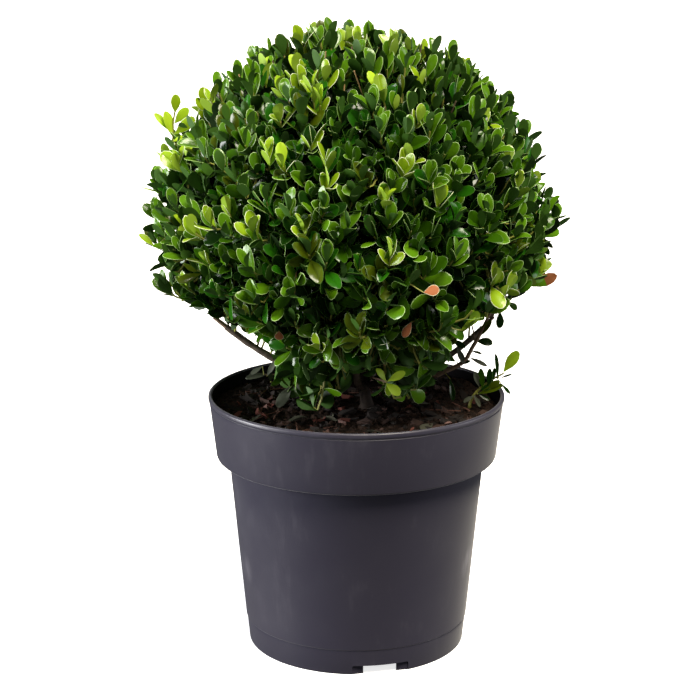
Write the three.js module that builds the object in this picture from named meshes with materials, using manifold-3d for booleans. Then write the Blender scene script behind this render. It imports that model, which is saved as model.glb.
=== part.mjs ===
// Clipped evergreen ball shrub in a round nursery pot.
// Millimetres, +Z up. The origin is on the pot's axis, in the plane that the pot stands on, and
// the front of the plant faces -Y.
//
// The pot holds the soil, and a short trunk stands on the soil and forks. Its leader carries the
// clipped ball, whose twigs and leaves stand out of a smaller core. Four boughs carry the loose low
// foliage under the ball, one mass on each, and a low shoot leans over the rim at the right.

import * as THREE from "three";
import { mergeVertices } from "three/addons/utils/BufferGeometryUtils.js";
import Module from "manifold-3d";

const wasm = await Module();
wasm.setup();

const DEG = Math.PI / 180;
const GOLDEN_ANGLE = Math.PI * (3 - Math.sqrt(5));

// Gap between neighbouring pieces
const CLEAR = 0.3;

// Shortest edge that a fused piece keeps
const SLIVER = 0.02;

// Pot: a moulded shell with a wide rim band, a foot step and three drain notches
const POT_HEIGHT = 200;
const RIM_RADIUS = 115;
const RIM_BEAD_HEIGHT = 3;
const RIM_BEAD_WIDTH = 3;
const RIM_BEAD_PROUD = 0.7;
const BAND_BOTTOM = 151;
const BAND_RADIUS = 109;
const WALL_TOP_RADIUS = 99.6;
const FOOT_RADIUS = 85.5;
const FOOT_STEP_HEIGHT = 21;
const FOOT_STEP = 0.6;
const WALL = 1.8;
const EDGE = 0.8;
const FLOOR_RISE = 5.5;
const FLOOR = 2;
const FOOT_RING = 4.5;
const NOTCH_COUNT = 3;
const NOTCH_TURN = 12.7 * DEG;
const NOTCH_WIDTH = 26;
const NOTCH_HEIGHT = 7.5;
const NOTCH_CHAMFER = 1.5;
const NOTCH_REACH = 12;
const NOTCH_PAST = 5;
const POCKET_WIDTH = 44;
const POCKET_DEPTH = 1.6;
const POT_SIDES = 36;

// Soil: fills the pot to just under the rim, with a low mound and bark chips
const SOIL_EDGE_HEIGHT = 186;
const SOIL_TOP_HEIGHT = 189;
const SOIL_TOP_RADIUS = 26;
const SOIL_SIDES = 32;
const CHIP_COUNT = 16;
const CHIP_LENGTH = 19;
const CHIP_WIDTH = 10;
const CHIP_THICKNESS = 4;
const CHIP_MARGIN = 14;
const CHIP_LEAST = 0.6;
const CHIP_TILT = 14 * DEG;
const CHIP_PROUD = 0.3;
const SOIL_SEED = 11;

// Trunk: flared foot on the soil, a slight lean, and a short stub for each bough
const TRUNK_FOOT = new THREE.Vector3(8, -4, SOIL_TOP_HEIGHT + CLEAR);
const TRUNK_FORK = new THREE.Vector3(5, -3, 206);
const TRUNK_RADIUS = 4.6;
const TRUNK_TAPER = 0.12;
const ROOT_FLARE = 0.75;
const ROOT_FLARE_FADE = 5;
const STUB_LENGTH = 14;
const STUB_FLARE = 0.4;
const STUB_SINK = 3;
const TRUNK_SIDES = 10;
const TRUNK_STEPS = 6;

// Crown: a clipped ball, and below it a loose skirt drawn in towards the trunk
const CROWN_RADIUS = 154;
const CROWN_HEIGHT = 330;
const CROWN_CENTRE = new THREE.Vector3(0, 0, CROWN_HEIGHT);
const UNDER_HEIGHT = 203;
const UNDER_RADIUS = 50;
const UNDER_SLOPE = 1.23;
const SKIRT_POLAR = 105 * DEG;
const LOWEST_POLAR = 160 * DEG;
const SECTOR = 45 * DEG;
const SPACE_MARGIN = 0.5;
const CORE_RADIUS = 114;
const CORE_LUMP = 4;
const CORE_FLOOR = 40;
const CORE_STEM = 12;
const SKIRT_CORE = { outer: 92, inner: 52, top: 116 * DEG, under: 138 * DEG, half: 36 * DEG };

// Growth: one rule for all masses, with leaves larger than life so that they are fewer
const BALL_SHOOTS = 88;
const SKIRT_SHOOTS = 124;
const FORK_SPREAD = 0.9;
const FORK_LEAST = 0.2;
const FORK_MOST = 0.75;
const GOAL_JITTER = 0.12;
const GOAL_DEPTH = 0.72;
const GOAL_DEPTH_RANGE = 0.14;
const GOAL_SEED = 23;
const BALL_SEED = 9;
const SKIRT_SEED = 40;
const TWIG_RADIUS = 2.4;
const TWIG_TIP_RADIUS = 2;
const TWIG_SIDES = 3;
const TWIG_OUTWARD = 0.6;
const STEM_RADIUS = 2.4;
const STEM_TIP_RADIUS = 2;
const STEM_LENGTH = 14;
const STEM_SIDES = 6;
const NODE_SPACING = 11;
const NODES_A_TWIG = 3;
const LOWEST_NODE = 0.95;
const LEAF_LENGTH = 36;
const LEAF_WIDTH = 19;
const LEAF_THICKNESS = 2;
const LEAF_THICKEST = 0.4;
const LEAF_BROADEST = 0.62;
const LEAF_TIP_SHARE = 0.5;
const LEAF_CUP = 1.4;
const LEAF_SINK = 1.2;
const LEAF_LEAN = 34 * DEG;
const LEAF_LEAN_STEP = 17 * DEG;
const LEAF_LEAN_RANGE = 0.6;
const LEAF_LEAST = 0.86;
const LEAF_RANGE = 0.2;
const BLADE_SHARE = 0.75;
const SPIN_TRIES = [0, 0.5, -0.5, 1, -1];
const LIMB_CLEAR = 1;

// Boughs: the mass's azimuth, the bough's turn from it, first rise, distance to its bend, tip place.
// The foliage at the front and back is dense, with a core. At the sides it is open.
const BOUGHS = [
  { side: "left", azimuth: 180, turn: 0, rise: 8, bend: 44, spread: 99, height: 251, base: 2.7, tip: 2 },
  { side: "right", azimuth: 0, turn: 2, rise: 8, bend: 42, spread: 96, height: 250, base: 2.3, tip: 1.6 },
  { side: "front", azimuth: -90, turn: -8, rise: 14, bend: 34, spread: 60, height: 250, base: 2.6, tip: 2 },
  { side: "back", azimuth: 90, turn: -2, rise: 14, bend: 34, spread: 60, height: 250, base: 2.6, tip: 2 },
];
const DENSE_SIDES = ["front", "back"];
const LIMB_SIDES = 8;
const LIMB_STEPS = 9;
const LEADER = { base: 3.2, tip: 2.4, height: CROWN_HEIGHT - CORE_FLOOR - CORE_STEM };

// Low shoot at the right that rises from the soil and leans over the rim
const LOW_SHOOT_FOOT = 88;
const LOW_SHOOT_TIP = new THREE.Vector3(111, -4, 212);
const LOW_SHOOT_LEAF = 0.7;
const LOW_SHOOT_BARE = 0.4;
const LOW_SHOOT_STEPS = 4;
const LOW_SHOOT_SEED = 5;

const potPlastic = new THREE.MeshStandardMaterial({ color: 0x37343b, roughness: 0.45, metalness: 0 });
const pottingSoil = new THREE.MeshStandardMaterial({ color: 0x2a1d17, roughness: 0.95, metalness: 0 });
const bark = new THREE.MeshStandardMaterial({ color: 0x6a5646, roughness: 0.9, metalness: 0 });
const foliage = new THREE.MeshStandardMaterial({ color: 0x3f7a2b, roughness: 0.4, metalness: 0 });

const plant = new THREE.Group();

function addPiece(name, geometry, material) {
  const mesh = new THREE.Mesh(geometry, material);
  mesh.name = name;
  plant.add(mesh);
}

// Repeatable random numbers from 0 to 1, so that the same plant grows every time.
function seeded(seed) {
  let state = seed;
  return () => {
    state = (state + 0x6d2b79f5) | 0;
    let mixed = Math.imul(state ^ (state >>> 15), state | 1);
    mixed ^= mixed + Math.imul(mixed ^ (mixed >>> 7), mixed | 61);
    return ((mixed ^ (mixed >>> 14)) >>> 0) / 4294967296;
  };
}

function solidFrom(geometry) {
  const bare = geometry.clone();
  bare.deleteAttribute("normal");
  bare.deleteAttribute("uv");
  const merged = mergeVertices(bare, 1e-3);
  const vertProperties = new Float32Array(merged.attributes.position.array);
  const triVerts = new Uint32Array(merged.index.array);
  return new wasm.Manifold(new wasm.Mesh({ numProp: 3, vertProperties, triVerts }));
}

function geometryFrom(solid) {
  const mesh = solid.getMesh();
  const geometry = new THREE.BufferGeometry();
  geometry.setAttribute("position", new THREE.BufferAttribute(mesh.vertProperties, 3));
  geometry.setIndex(new THREE.BufferAttribute(mesh.triVerts, 1));
  geometry.computeVertexNormals();
  return geometry;
}

// Joins solids and keeps the largest body, which drops loose scraps and fills sealed hollows. Edges
// shorter than SLIVER are closed up.
function fused(solids) {
  let whole = solids[0];
  for (const solid of solids.slice(1)) {
    whole = whole.add(solid);
  }
  const bodies = whole.decompose();
  bodies.sort((a, b) => b.volume() - a.volume());
  return bodies[0].simplify(SLIVER);
}

// A point at an azimuth and a distance from the pot's axis.
function polarPoint(azimuth, spread, height) {
  return new THREE.Vector3(spread * Math.cos(azimuth), spread * Math.sin(azimuth), height);
}

// A round limb along a curve: a cylinder whose rings are moved onto the curve.
function limbGeometry(curve, radiusAt, sides, steps) {
  const geometry = new THREE.CylinderGeometry(1, 1, 1, sides, steps);
  const frames = curve.computeFrenetFrames(steps);
  const position = geometry.attributes.position;
  for (let i = 0; i < position.count; i += 1) {
    const along = position.getY(i) + 0.5;
    const ring = Math.round(along * steps);
    const radius = radiusAt(along);
    const spot = curve.getPointAt(along);
    spot.addScaledVector(frames.normals[ring], radius * position.getX(i));
    spot.addScaledVector(frames.binormals[ring], -radius * position.getZ(i));
    position.setXYZ(i, spot.x, spot.y, spot.z);
  }
  return geometry;
}

function taper(base, tip) {
  return (along) => base + (tip - base) * along;
}

// A profile of radius and height pairs, turned round the Z axis.
function turned(profile, sides) {
  const points = profile.map(([radius, height]) => new THREE.Vector2(radius, height));
  return new THREE.LatheGeometry(points, sides).rotateX(Math.PI / 2);
}

// Pot

function wallRadius(height) {
  return FOOT_RADIUS + ((WALL_TOP_RADIUS - FOOT_RADIUS) * height) / BAND_BOTTOM;
}

const floorTop = FLOOR_RISE + FLOOR;
const beadBottom = POT_HEIGHT - RIM_BEAD_HEIGHT;
const bandInnerRadius = BAND_RADIUS - WALL;
const shoulder = BAND_BOTTOM + WALL;

function potProfile() {
  const ringInner = FOOT_RADIUS - FOOT_RING;
  const stepRadius = wallRadius(FOOT_STEP_HEIGHT);
  return [
    [0, FLOOR_RISE],
    [ringInner, FLOOR_RISE],
    [ringInner, 0],
    [FOOT_RADIUS - FOOT_STEP - EDGE, 0],
    [FOOT_RADIUS - FOOT_STEP, EDGE],
    [stepRadius - FOOT_STEP, FOOT_STEP_HEIGHT - FOOT_STEP],
    [stepRadius, FOOT_STEP_HEIGHT],
    [WALL_TOP_RADIUS, BAND_BOTTOM],
    [BAND_RADIUS - EDGE, BAND_BOTTOM],
    [BAND_RADIUS, BAND_BOTTOM + EDGE],
    [RIM_RADIUS - RIM_BEAD_PROUD, beadBottom],
    [RIM_RADIUS, beadBottom + RIM_BEAD_PROUD],
    [RIM_RADIUS, POT_HEIGHT - EDGE],
    [RIM_RADIUS - EDGE, POT_HEIGHT],
    [RIM_RADIUS - RIM_BEAD_WIDTH + EDGE, POT_HEIGHT],
    [RIM_RADIUS - RIM_BEAD_WIDTH, POT_HEIGHT - EDGE],
    [bandInnerRadius, shoulder],
    [WALL_TOP_RADIUS - WALL, shoulder],
    [wallRadius(floorTop) - WALL, floorTop],
    [0, floorTop],
  ];
}

// An upright opening with clipped upper corners, cut inwards from outside the foot.
function notchCutter(width, inner, turn) {
  const half = width / 2;
  const shape = new THREE.Shape();
  shape.moveTo(-half, -NOTCH_PAST);
  shape.lineTo(half, -NOTCH_PAST);
  shape.lineTo(half, NOTCH_HEIGHT - NOTCH_CHAMFER);
  shape.lineTo(half - NOTCH_CHAMFER, NOTCH_HEIGHT);
  shape.lineTo(NOTCH_CHAMFER - half, NOTCH_HEIGHT);
  shape.lineTo(-half, NOTCH_HEIGHT - NOTCH_CHAMFER);
  shape.closePath();
  const depth = FOOT_RADIUS + NOTCH_PAST - inner;
  const cutter = new THREE.ExtrudeGeometry(shape, { depth, bevelEnabled: false });
  cutter.translate(0, 0, inner);
  cutter.rotateX(Math.PI / 2);
  cutter.rotateZ(turn);
  return solidFrom(cutter);
}

function potGeometry() {
  let pot = solidFrom(turned(potProfile(), POT_SIDES));
  const pocketInner = Math.sqrt((FOOT_RADIUS - POCKET_DEPTH) ** 2 - (POCKET_WIDTH / 2) ** 2);
  for (let i = 0; i < NOTCH_COUNT; i += 1) {
    const turn = NOTCH_TURN + (i * 2 * Math.PI) / NOTCH_COUNT;
    pot = pot.subtract(notchCutter(NOTCH_WIDTH, FOOT_RADIUS - NOTCH_REACH, turn));
    pot = pot.subtract(notchCutter(POCKET_WIDTH, pocketInner, turn));
  }
  return geometryFrom(pot);
}

addPiece("pot", potGeometry(), potPlastic);

// Soil

function soilHeight(spread) {
  const edge = RIM_RADIUS - RIM_BEAD_WIDTH;
  const share = Math.min(Math.max((spread - SOIL_TOP_RADIUS) / (edge - SOIL_TOP_RADIUS), 0), 1);
  return SOIL_TOP_HEIGHT + (SOIL_EDGE_HEIGHT - SOIL_TOP_HEIGHT) * share;
}

// Inner radius of the pot's rim band at a height.
function bandInside(height) {
  const share = (height - shoulder) / (POT_HEIGHT - EDGE - shoulder);
  return bandInnerRadius + (RIM_RADIUS - RIM_BEAD_WIDTH - bandInnerRadius) * share;
}

function soilProfile() {
  const edge = bandInside(SOIL_EDGE_HEIGHT) - 2 * CLEAR;
  const middle = (edge + SOIL_TOP_RADIUS) / 2;
  const bottom = floorTop + CLEAR;
  return [
    [0, bottom],
    [wallRadius(bottom) - WALL - 2 * CLEAR, bottom],
    [WALL_TOP_RADIUS - WALL - 2 * CLEAR, shoulder + CLEAR],
    [bandInnerRadius - 2 * CLEAR, shoulder + CLEAR],
    [edge, soilHeight(edge)],
    [middle, soilHeight(middle)],
    [SOIL_TOP_RADIUS, SOIL_TOP_HEIGHT],
    [0, SOIL_TOP_HEIGHT],
  ];
}

// Bark chips lie half sunk in the soil, clear of the trunk, the low shoot and the pot.
function soilGeometry() {
  const random = seeded(SOIL_SEED);
  const solids = [solidFrom(turned(soilProfile(), SOIL_SIDES))];
  const outermost = bandInside(SOIL_EDGE_HEIGHT) - CHIP_MARGIN;
  for (let i = 0; i < CHIP_COUNT; i += 1) {
    const share = (i + 0.5) / CHIP_COUNT;
    const inner = SOIL_TOP_RADIUS + CHIP_MARGIN / 2;
    const spread = Math.sqrt(inner ** 2 + (outermost ** 2 - inner ** 2) * share);
    const azimuth = i * GOLDEN_ANGLE;
    const size = CHIP_LEAST + (1 - CHIP_LEAST) * random();
    const spot = polarPoint(azimuth, spread, soilHeight(spread));
    const chip = new THREE.BoxGeometry(CHIP_LENGTH * size, CHIP_WIDTH * size, CHIP_THICKNESS * size);
    chip.rotateX((2 * random() - 1) * CHIP_TILT);
    chip.rotateY((2 * random() - 1) * CHIP_TILT);
    chip.rotateZ(random() * Math.PI);
    chip.translate(spot.x, spot.y, spot.z + CHIP_PROUD * size);
    if (spot.distanceTo(polarPoint(0, LOW_SHOOT_FOOT, soilHeight(LOW_SHOOT_FOOT))) > CHIP_MARGIN) {
      solids.push(solidFrom(chip));
    }
  }
  return geometryFrom(fused(solids));
}

addPiece("soil", soilGeometry(), pottingSoil);

// Trunk and boughs

// A slightly thicker copy of every limb, which the foliage keeps out of.
const limbGuards = [];

function guardLimb(curve, radiusAt) {
  const guardRadiusAt = (along) => radiusAt(along) + LIMB_CLEAR;
  limbGuards.push(solidFrom(limbGeometry(curve, guardRadiusAt, LIMB_SIDES, LIMB_STEPS)));
}

function clearOfLimbs(solid) {
  return limbGuards.every((guard) => guard.intersect(solid).isEmpty());
}

// Direction in which a bough leaves the fork.
function boughStart(bough) {
  const rise = bough.rise * DEG;
  return polarPoint((bough.azimuth + bough.turn) * DEG, Math.cos(rise), Math.sin(rise));
}

// Leaves the fork along its first direction and bends up to its tip.
function boughCurve(bough) {
  const first = boughStart(bough);
  const from = TRUNK_FORK.clone().addScaledVector(first, STUB_LENGTH + CLEAR);
  const bend = from.clone().addScaledVector(first, bough.bend);
  const tip = polarPoint(bough.azimuth * DEG, bough.spread, bough.height);
  return new THREE.QuadraticBezierCurve3(from, bend, tip);
}

function trunkGeometry() {
  const bend = TRUNK_FOOT.clone().setZ((TRUNK_FOOT.z + TRUNK_FORK.z) / 2);
  const column = new THREE.QuadraticBezierCurve3(TRUNK_FOOT, bend, TRUNK_FORK);
  const radiusAt = (along) =>
    TRUNK_RADIUS * (1 - TRUNK_TAPER * along + ROOT_FLARE * Math.exp(-ROOT_FLARE_FADE * along));
  guardLimb(column, radiusAt);
  const solids = [solidFrom(limbGeometry(column, radiusAt, TRUNK_SIDES, TRUNK_STEPS))];
  for (const bough of BOUGHS) {
    const end = TRUNK_FORK.clone().addScaledVector(boughStart(bough), STUB_LENGTH);
    const stub = new THREE.LineCurve3(TRUNK_FORK, end);
    const stubRadiusAt = taper(bough.base + STUB_FLARE, bough.base);
    solids.push(solidFrom(limbGeometry(stub, stubRadiusAt, LIMB_SIDES, 1)));
  }
  const top = TRUNK_FORK.clone().setZ(TRUNK_FORK.z + STUB_LENGTH);
  const leaderStub = new THREE.LineCurve3(TRUNK_FORK.clone().setZ(TRUNK_FORK.z - STUB_SINK), top);
  const forkRadius = TRUNK_RADIUS * (1 - TRUNK_TAPER);
  solids.push(solidFrom(limbGeometry(leaderStub, taper(forkRadius, LEADER.base), TRUNK_SIDES, 1)));
  return geometryFrom(fused(solids));
}

addPiece("trunk", trunkGeometry(), bark);

const boughCurves = {};
for (const bough of BOUGHS) {
  const curve = boughCurve(bough);
  const radiusAt = taper(bough.base, bough.tip);
  boughCurves[bough.side] = curve;
  guardLimb(curve, radiusAt);
  addPiece(`bough_${bough.side}`, limbGeometry(curve, radiusAt, LIMB_SIDES, LIMB_STEPS), bark);
}

function leaderCurve() {
  const from = TRUNK_FORK.clone().setZ(TRUNK_FORK.z + STUB_LENGTH + CLEAR);
  const bend = from.clone().setZ((from.z + LEADER.height) / 2);
  return new THREE.QuadraticBezierCurve3(from, bend, polarPoint(0, 0, LEADER.height));
}

boughCurves.leader = leaderCurve();
const leaderRadiusAt = taper(LEADER.base, LEADER.tip);
guardLimb(boughCurves.leader, leaderRadiusAt);
addPiece("bough_leader", limbGeometry(boughCurves.leader, leaderRadiusAt, LIMB_SIDES, LIMB_STEPS), bark);

// Foliage

// Distance of a point below the cone, seen from the crown's centre, that parts ball and skirt.
function belowBall(point) {
  const rise = point.z - CROWN_HEIGHT;
  return Math.hypot(point.x, point.y) * Math.cos(SKIRT_POLAR) - rise * Math.sin(SKIRT_POLAR);
}

// Distance of a point inside the two upright planes that bound a mass of the skirt.
function insideSector(point, azimuth) {
  const early = azimuth - SECTOR;
  const late = azimuth + SECTOR;
  const fromEarly = point.y * Math.cos(early) - point.x * Math.sin(early);
  const fromLate = point.x * Math.sin(late) - point.y * Math.cos(late);
  return Math.min(fromEarly, fromLate);
}

function insideCrown(point) {
  const spread = Math.hypot(point.x, point.y);
  const underside = UNDER_RADIUS + (point.z - UNDER_HEIGHT) * UNDER_SLOPE;
  return point.distanceTo(CROWN_CENTRE) <= CROWN_RADIUS && spread <= underside;
}

// The space of each mass, as a test of a point with a margin inside its borders.
function ballSpace(point, margin) {
  return belowBall(point) <= -margin;
}

function skirtSpace(azimuth) {
  return (point, margin) => belowBall(point) >= margin && insideSector(point, azimuth) >= margin;
}

// Distance from the crown's centre to its outline in a direction.
function crownReach(direction) {
  const spread = Math.hypot(direction.x, direction.y);
  const inwards = spread - direction.z * UNDER_SLOPE;
  const under = UNDER_RADIUS + (CROWN_HEIGHT - UNDER_HEIGHT) * UNDER_SLOPE;
  return inwards > 0 ? Math.min(CROWN_RADIUS, under / inwards) : CROWN_RADIUS;
}

function directionAt(azimuth, polar) {
  return polarPoint(azimuth, Math.sin(polar), Math.cos(polar));
}

// Where shoots end: a golden-angle spiral over the crown, a leaf's length inside its outline.
function shootGoals(count) {
  const random = seeded(GOAL_SEED);
  const goals = [];
  const lowest = Math.cos(LOWEST_POLAR);
  for (let i = 0; i < count; i += 1) {
    const height = 1 - ((1 - lowest) * (i + 0.5)) / count;
    const azimuth = i * GOLDEN_ANGLE + (random() - 0.5) * GOAL_JITTER;
    const direction = directionAt(azimuth, Math.acos(height));
    const radius = crownReach(direction) - LEAF_LENGTH * (GOAL_DEPTH + GOAL_DEPTH_RANGE * random());
    goals.push(CROWN_CENTRE.clone().addScaledVector(direction, radius));
  }
  return goals;
}

function middleOf(points) {
  const sum = new THREE.Vector3();
  points.forEach((point) => sum.add(point));
  return sum.divideScalar(points.length);
}

// Halves a group of goals across its widest direction.
function halves(goals) {
  const size = new THREE.Box3().setFromPoints(goals).getSize(new THREE.Vector3());
  const axis = ["x", "y", "z"].reduce((best, next) => (size[next] > size[best] ? next : best));
  const sorted = [...goals].sort((a, b) => a[axis] - b[axis]);
  const half = Math.ceil(sorted.length / 2);
  return [sorted.slice(0, half), sorted.slice(half)];
}

// A limb heads for the middle of its goals and forks when they are spread as wide as they are far.
function forkPoint(from, goals) {
  const middle = middleOf(goals);
  const distance = from.distanceTo(middle);
  const spread = Math.max(...goals.map((goal) => goal.distanceTo(middle)));
  const share = THREE.MathUtils.clamp(1 - (FORK_SPREAD * spread) / distance, FORK_LEAST, FORK_MOST);
  return from.clone().lerp(middle, share);
}

// The branching rule: each limb forks in two, and each fork does the same with its half of the
// goals, until one goal is left, which a leafy twig reaches. What would touch a bough isn't grown.
function grow(from, goals, limbs, twigs) {
  const last = goals.length === 1;
  const to = last ? goals[0] : forkPoint(from, goals);
  const solid = twigSolid(from, to, TWIG_RADIUS, last ? TWIG_TIP_RADIUS : TWIG_RADIUS);
  if (!clearOfLimbs(solid)) {
    return;
  }
  if (last) {
    twigs.push({ from, to, solid });
    return;
  }
  limbs.push(solid);
  for (const half of halves(goals)) {
    grow(to, half, limbs, twigs);
  }
}

function twigSolid(from, to, base, tip) {
  return solidFrom(limbGeometry(new THREE.LineCurve3(from, to), taper(base, tip), TWIG_SIDES, 1));
}

// A thin obovate blade of 10 faces, from its root along +X with its upper side towards +Y: a flat
// five-sided double pyramid whose ring is the root, the two broad sides and the blunt tip.
function leafGeometry(length, width) {
  const leaf = new THREE.SphereGeometry(1, 5, 2);
  const position = leaf.attributes.position;
  for (let i = 0; i < position.count; i += 1) {
    const x = position.getX(i);
    const y = position.getY(i);
    const side = Math.sign(Math.round(position.getZ(i) * 4));
    if (Math.abs(y) > 0.5) {
      position.setXYZ(i, LEAF_THICKEST * length, (Math.sign(y) * LEAF_THICKNESS) / 2, 0);
    } else if (x < -0.5) {
      position.setXYZ(i, 0, 0, 0);
    } else if (x > 0.5) {
      position.setXYZ(i, length, 0, (side * width * LEAF_TIP_SHARE) / 2);
    } else {
      position.setXYZ(i, LEAF_BROADEST * length, LEAF_CUP, (side * width) / 2);
    }
  }
  return leaf;
}

// A leaf at a twig's node, leaning out from the twig by an angle, turned round it by a spin.
function leafAt(root, axis, spin, lean, size) {
  const seedSide = Math.abs(axis.z) < 0.9 ? new THREE.Vector3(0, 0, 1) : new THREE.Vector3(1, 0, 0);
  const across = new THREE.Vector3().crossVectors(axis, seedSide).normalize().applyAxisAngle(axis, spin);
  const along = axis.clone().multiplyScalar(Math.cos(lean)).addScaledVector(across, Math.sin(lean));
  const up = axis.clone().multiplyScalar(Math.sin(lean)).addScaledVector(across, -Math.cos(lean));
  const sideways = new THREE.Vector3().crossVectors(along, up);
  const place = new THREE.Matrix4().makeBasis(along, up, sideways);
  place.setPosition(root.clone().addScaledVector(along, -LEAF_SINK));
  return leafGeometry(LEAF_LENGTH * size, LEAF_WIDTH * size).applyMatrix4(place);
}

// The part of a leaf beyond its stalk.
function outerBlade(leaf, root) {
  const further = (far, point) => (point.distanceTo(root) > far.distanceTo(root) ? point : far);
  const tip = pointsOf(leaf).reduce(further);
  const shrink = new THREE.Matrix4().makeScale(BLADE_SHARE, BLADE_SHARE, BLADE_SHARE);
  const blade = leaf.clone().translate(-tip.x, -tip.y, -tip.z).applyMatrix4(shrink);
  return blade.translate(tip.x, tip.y, tip.z);
}

function pointsOf(geometry) {
  const position = geometry.attributes.position;
  const pointAt = (_, i) => new THREE.Vector3().fromBufferAttribute(position, i);
  return Array.from({ length: position.count }, pointAt);
}

// Opposite pairs of leaves down a twig from its tip, each pair turned a quarter from the last.
// A leaf that would leave its space, touch a bough or cut through something else of its mass is
// tried at a few other spins, then left out.
function leavesOn(twig, allowed, others, random, scale = 1) {
  const leaves = [];
  const length = twig.from.distanceTo(twig.to);
  const outward = twig.to.clone().sub(CROWN_CENTRE).normalize();
  const axis = twig.to.clone().sub(twig.from).normalize().lerp(outward, TWIG_OUTWARD).normalize();
  const firstSpin = random() * Math.PI;
  for (let node = 0; node < NODES_A_TWIG && node * NODE_SPACING * scale < length; node += 1) {
    const share = Math.min((node * NODE_SPACING * scale + TWIG_TIP_RADIUS) / length, LOWEST_NODE);
    const root = twig.to.clone().lerp(twig.from, share);
    for (const half of [0, Math.PI]) {
      const size = scale * (LEAF_LEAST + LEAF_RANGE * random());
      const lean = LEAF_LEAN + LEAF_LEAN_STEP * (node + LEAF_LEAN_RANGE * random());
      const spin = firstSpin + (node * Math.PI) / 2 + half;
      for (const turn of SPIN_TRIES) {
        const leaf = leafAt(root, axis, spin + turn, lean, size);
        const solid = solidFrom(leaf);
        const fits = pointsOf(leaf).every(allowed) && clearOfLimbs(solid);
        if (fits && others.every((other) => other === twig.solid || other.intersect(solid).isEmpty())) {
          leaves.push(solid);
          others.push(solidFrom(outerBlade(leaf, root)));
          break;
        }
      }
    }
  }
  return leaves;
}

// Core of the ball: a lumpy sphere with a flat underside.
function coreGeometry() {
  const core = new THREE.IcosahedronGeometry(1, 3);
  const position = core.attributes.position;
  for (let i = 0; i < position.count; i += 1) {
    const direction = new THREE.Vector3().fromBufferAttribute(position, i).normalize();
    const lump = Math.sin(5 * direction.x + 2) * Math.sin(6 * direction.y) * Math.sin(5 * direction.z + 1);
    const floor = direction.z < 0 ? -CORE_FLOOR / direction.z : Infinity;
    const radius = Math.min(CORE_RADIUS + CORE_LUMP * lump, floor);
    const spot = direction.multiplyScalar(radius).add(CROWN_CENTRE);
    position.setXYZ(i, spot.x, spot.y, spot.z);
  }
  return core;
}

// Core of a dense mass under the ball: a block bent into a patch of a thick shell, flat on top.
function skirtCoreGeometry(azimuth) {
  const ceiling = CROWN_HEIGHT - CORE_FLOOR - LIMB_CLEAR;
  const block = new THREE.BoxGeometry(1, 1, 1, 5, 3, 1);
  const position = block.attributes.position;
  for (let i = 0; i < position.count; i += 1) {
    const around = azimuth + 2 * SKIRT_CORE.half * position.getX(i);
    const share = position.getY(i) + 0.5;
    const polar = THREE.MathUtils.lerp(SKIRT_CORE.under, SKIRT_CORE.top, share);
    const radius = position.getZ(i) > 0 ? SKIRT_CORE.outer : SKIRT_CORE.inner;
    const spot = directionAt(around, polar).multiplyScalar(radius).add(CROWN_CENTRE);
    position.setXYZ(i, spot.x, spot.y, Math.min(spot.z, ceiling));
  }
  return block;
}

// Stem of a mass: carries straight on from its bough's tip to where the mass first forks.
function stemCurve(bough, length) {
  const heading = bough.getTangentAt(1);
  const from = bough.getPointAt(1).addScaledVector(heading, CLEAR);
  return new THREE.LineCurve3(from, from.clone().addScaledVector(heading, length));
}

function massGeometry(stem, goals, space, seed, cores) {
  const random = seeded(seed);
  const solids = [...cores];
  solids.push(solidFrom(limbGeometry(stem, taper(STEM_RADIUS, STEM_TIP_RADIUS), STEM_SIDES, 1)));
  const limbs = [];
  const twigs = [];
  grow(stem.getPointAt(1), goals, limbs, twigs);
  solids.push(...limbs, ...twigs.map((twig) => twig.solid));
  const others = [...solids];
  const allowed = (point) => insideCrown(point) && space(point, SPACE_MARGIN);
  for (const twig of twigs) {
    solids.push(...leavesOn(twig, allowed, others, random));
  }
  return geometryFrom(fused(solids));
}

const goalMargin = SPACE_MARGIN + TWIG_RADIUS;

const core = solidFrom(coreGeometry());
const ballGoals = shootGoals(BALL_SHOOTS).filter((goal) => ballSpace(goal, goalMargin));
const ballStem = stemCurve(boughCurves.leader, CORE_FLOOR);
addPiece("foliage_ball", massGeometry(ballStem, ballGoals, ballSpace, BALL_SEED, [core]), foliage);

limbGuards.push(core);
BOUGHS.forEach((bough, i) => {
  const azimuth = bough.azimuth * DEG;
  const space = skirtSpace(azimuth);
  const own = shootGoals(SKIRT_SHOOTS).filter((goal) => space(goal, goalMargin));
  const dense = DENSE_SIDES.includes(bough.side);
  const cores = dense ? [solidFrom(skirtCoreGeometry(azimuth))] : [];
  const stem = stemCurve(boughCurves[bough.side], dense ? 2 * STEM_LENGTH : STEM_LENGTH);
  addPiece(`foliage_${bough.side}`, massGeometry(stem, own, space, SKIRT_SEED + i, cores), foliage);
});

// Low shoot: a bare stem from the soil with small leaves at its upper end.
function lowShootGeometry() {
  const foot = polarPoint(0, LOW_SHOOT_FOOT, soilHeight(LOW_SHOOT_FOOT) + CLEAR);
  const bend = foot.clone().setZ((foot.z + LOW_SHOOT_TIP.z) / 2);
  const curve = new THREE.QuadraticBezierCurve3(foot, bend, LOW_SHOOT_TIP);
  const radiusAt = taper(STEM_RADIUS, TWIG_TIP_RADIUS);
  const stem = solidFrom(limbGeometry(curve, radiusAt, STEM_SIDES, LOW_SHOOT_STEPS));
  const overRim = (point) => point.z > POT_HEIGHT + CLEAR && !insideCrown(point);
  const twig = { from: curve.getPointAt(LOW_SHOOT_BARE), to: LOW_SHOOT_TIP };
  const leaves = leavesOn(twig, overRim, [], seeded(LOW_SHOOT_SEED), LOW_SHOOT_LEAF);
  return geometryFrom(fused([stem, ...leaves]));
}

addPiece("foliage_low_shoot", lowShootGeometry(), foliage);

export default plant;
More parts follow.
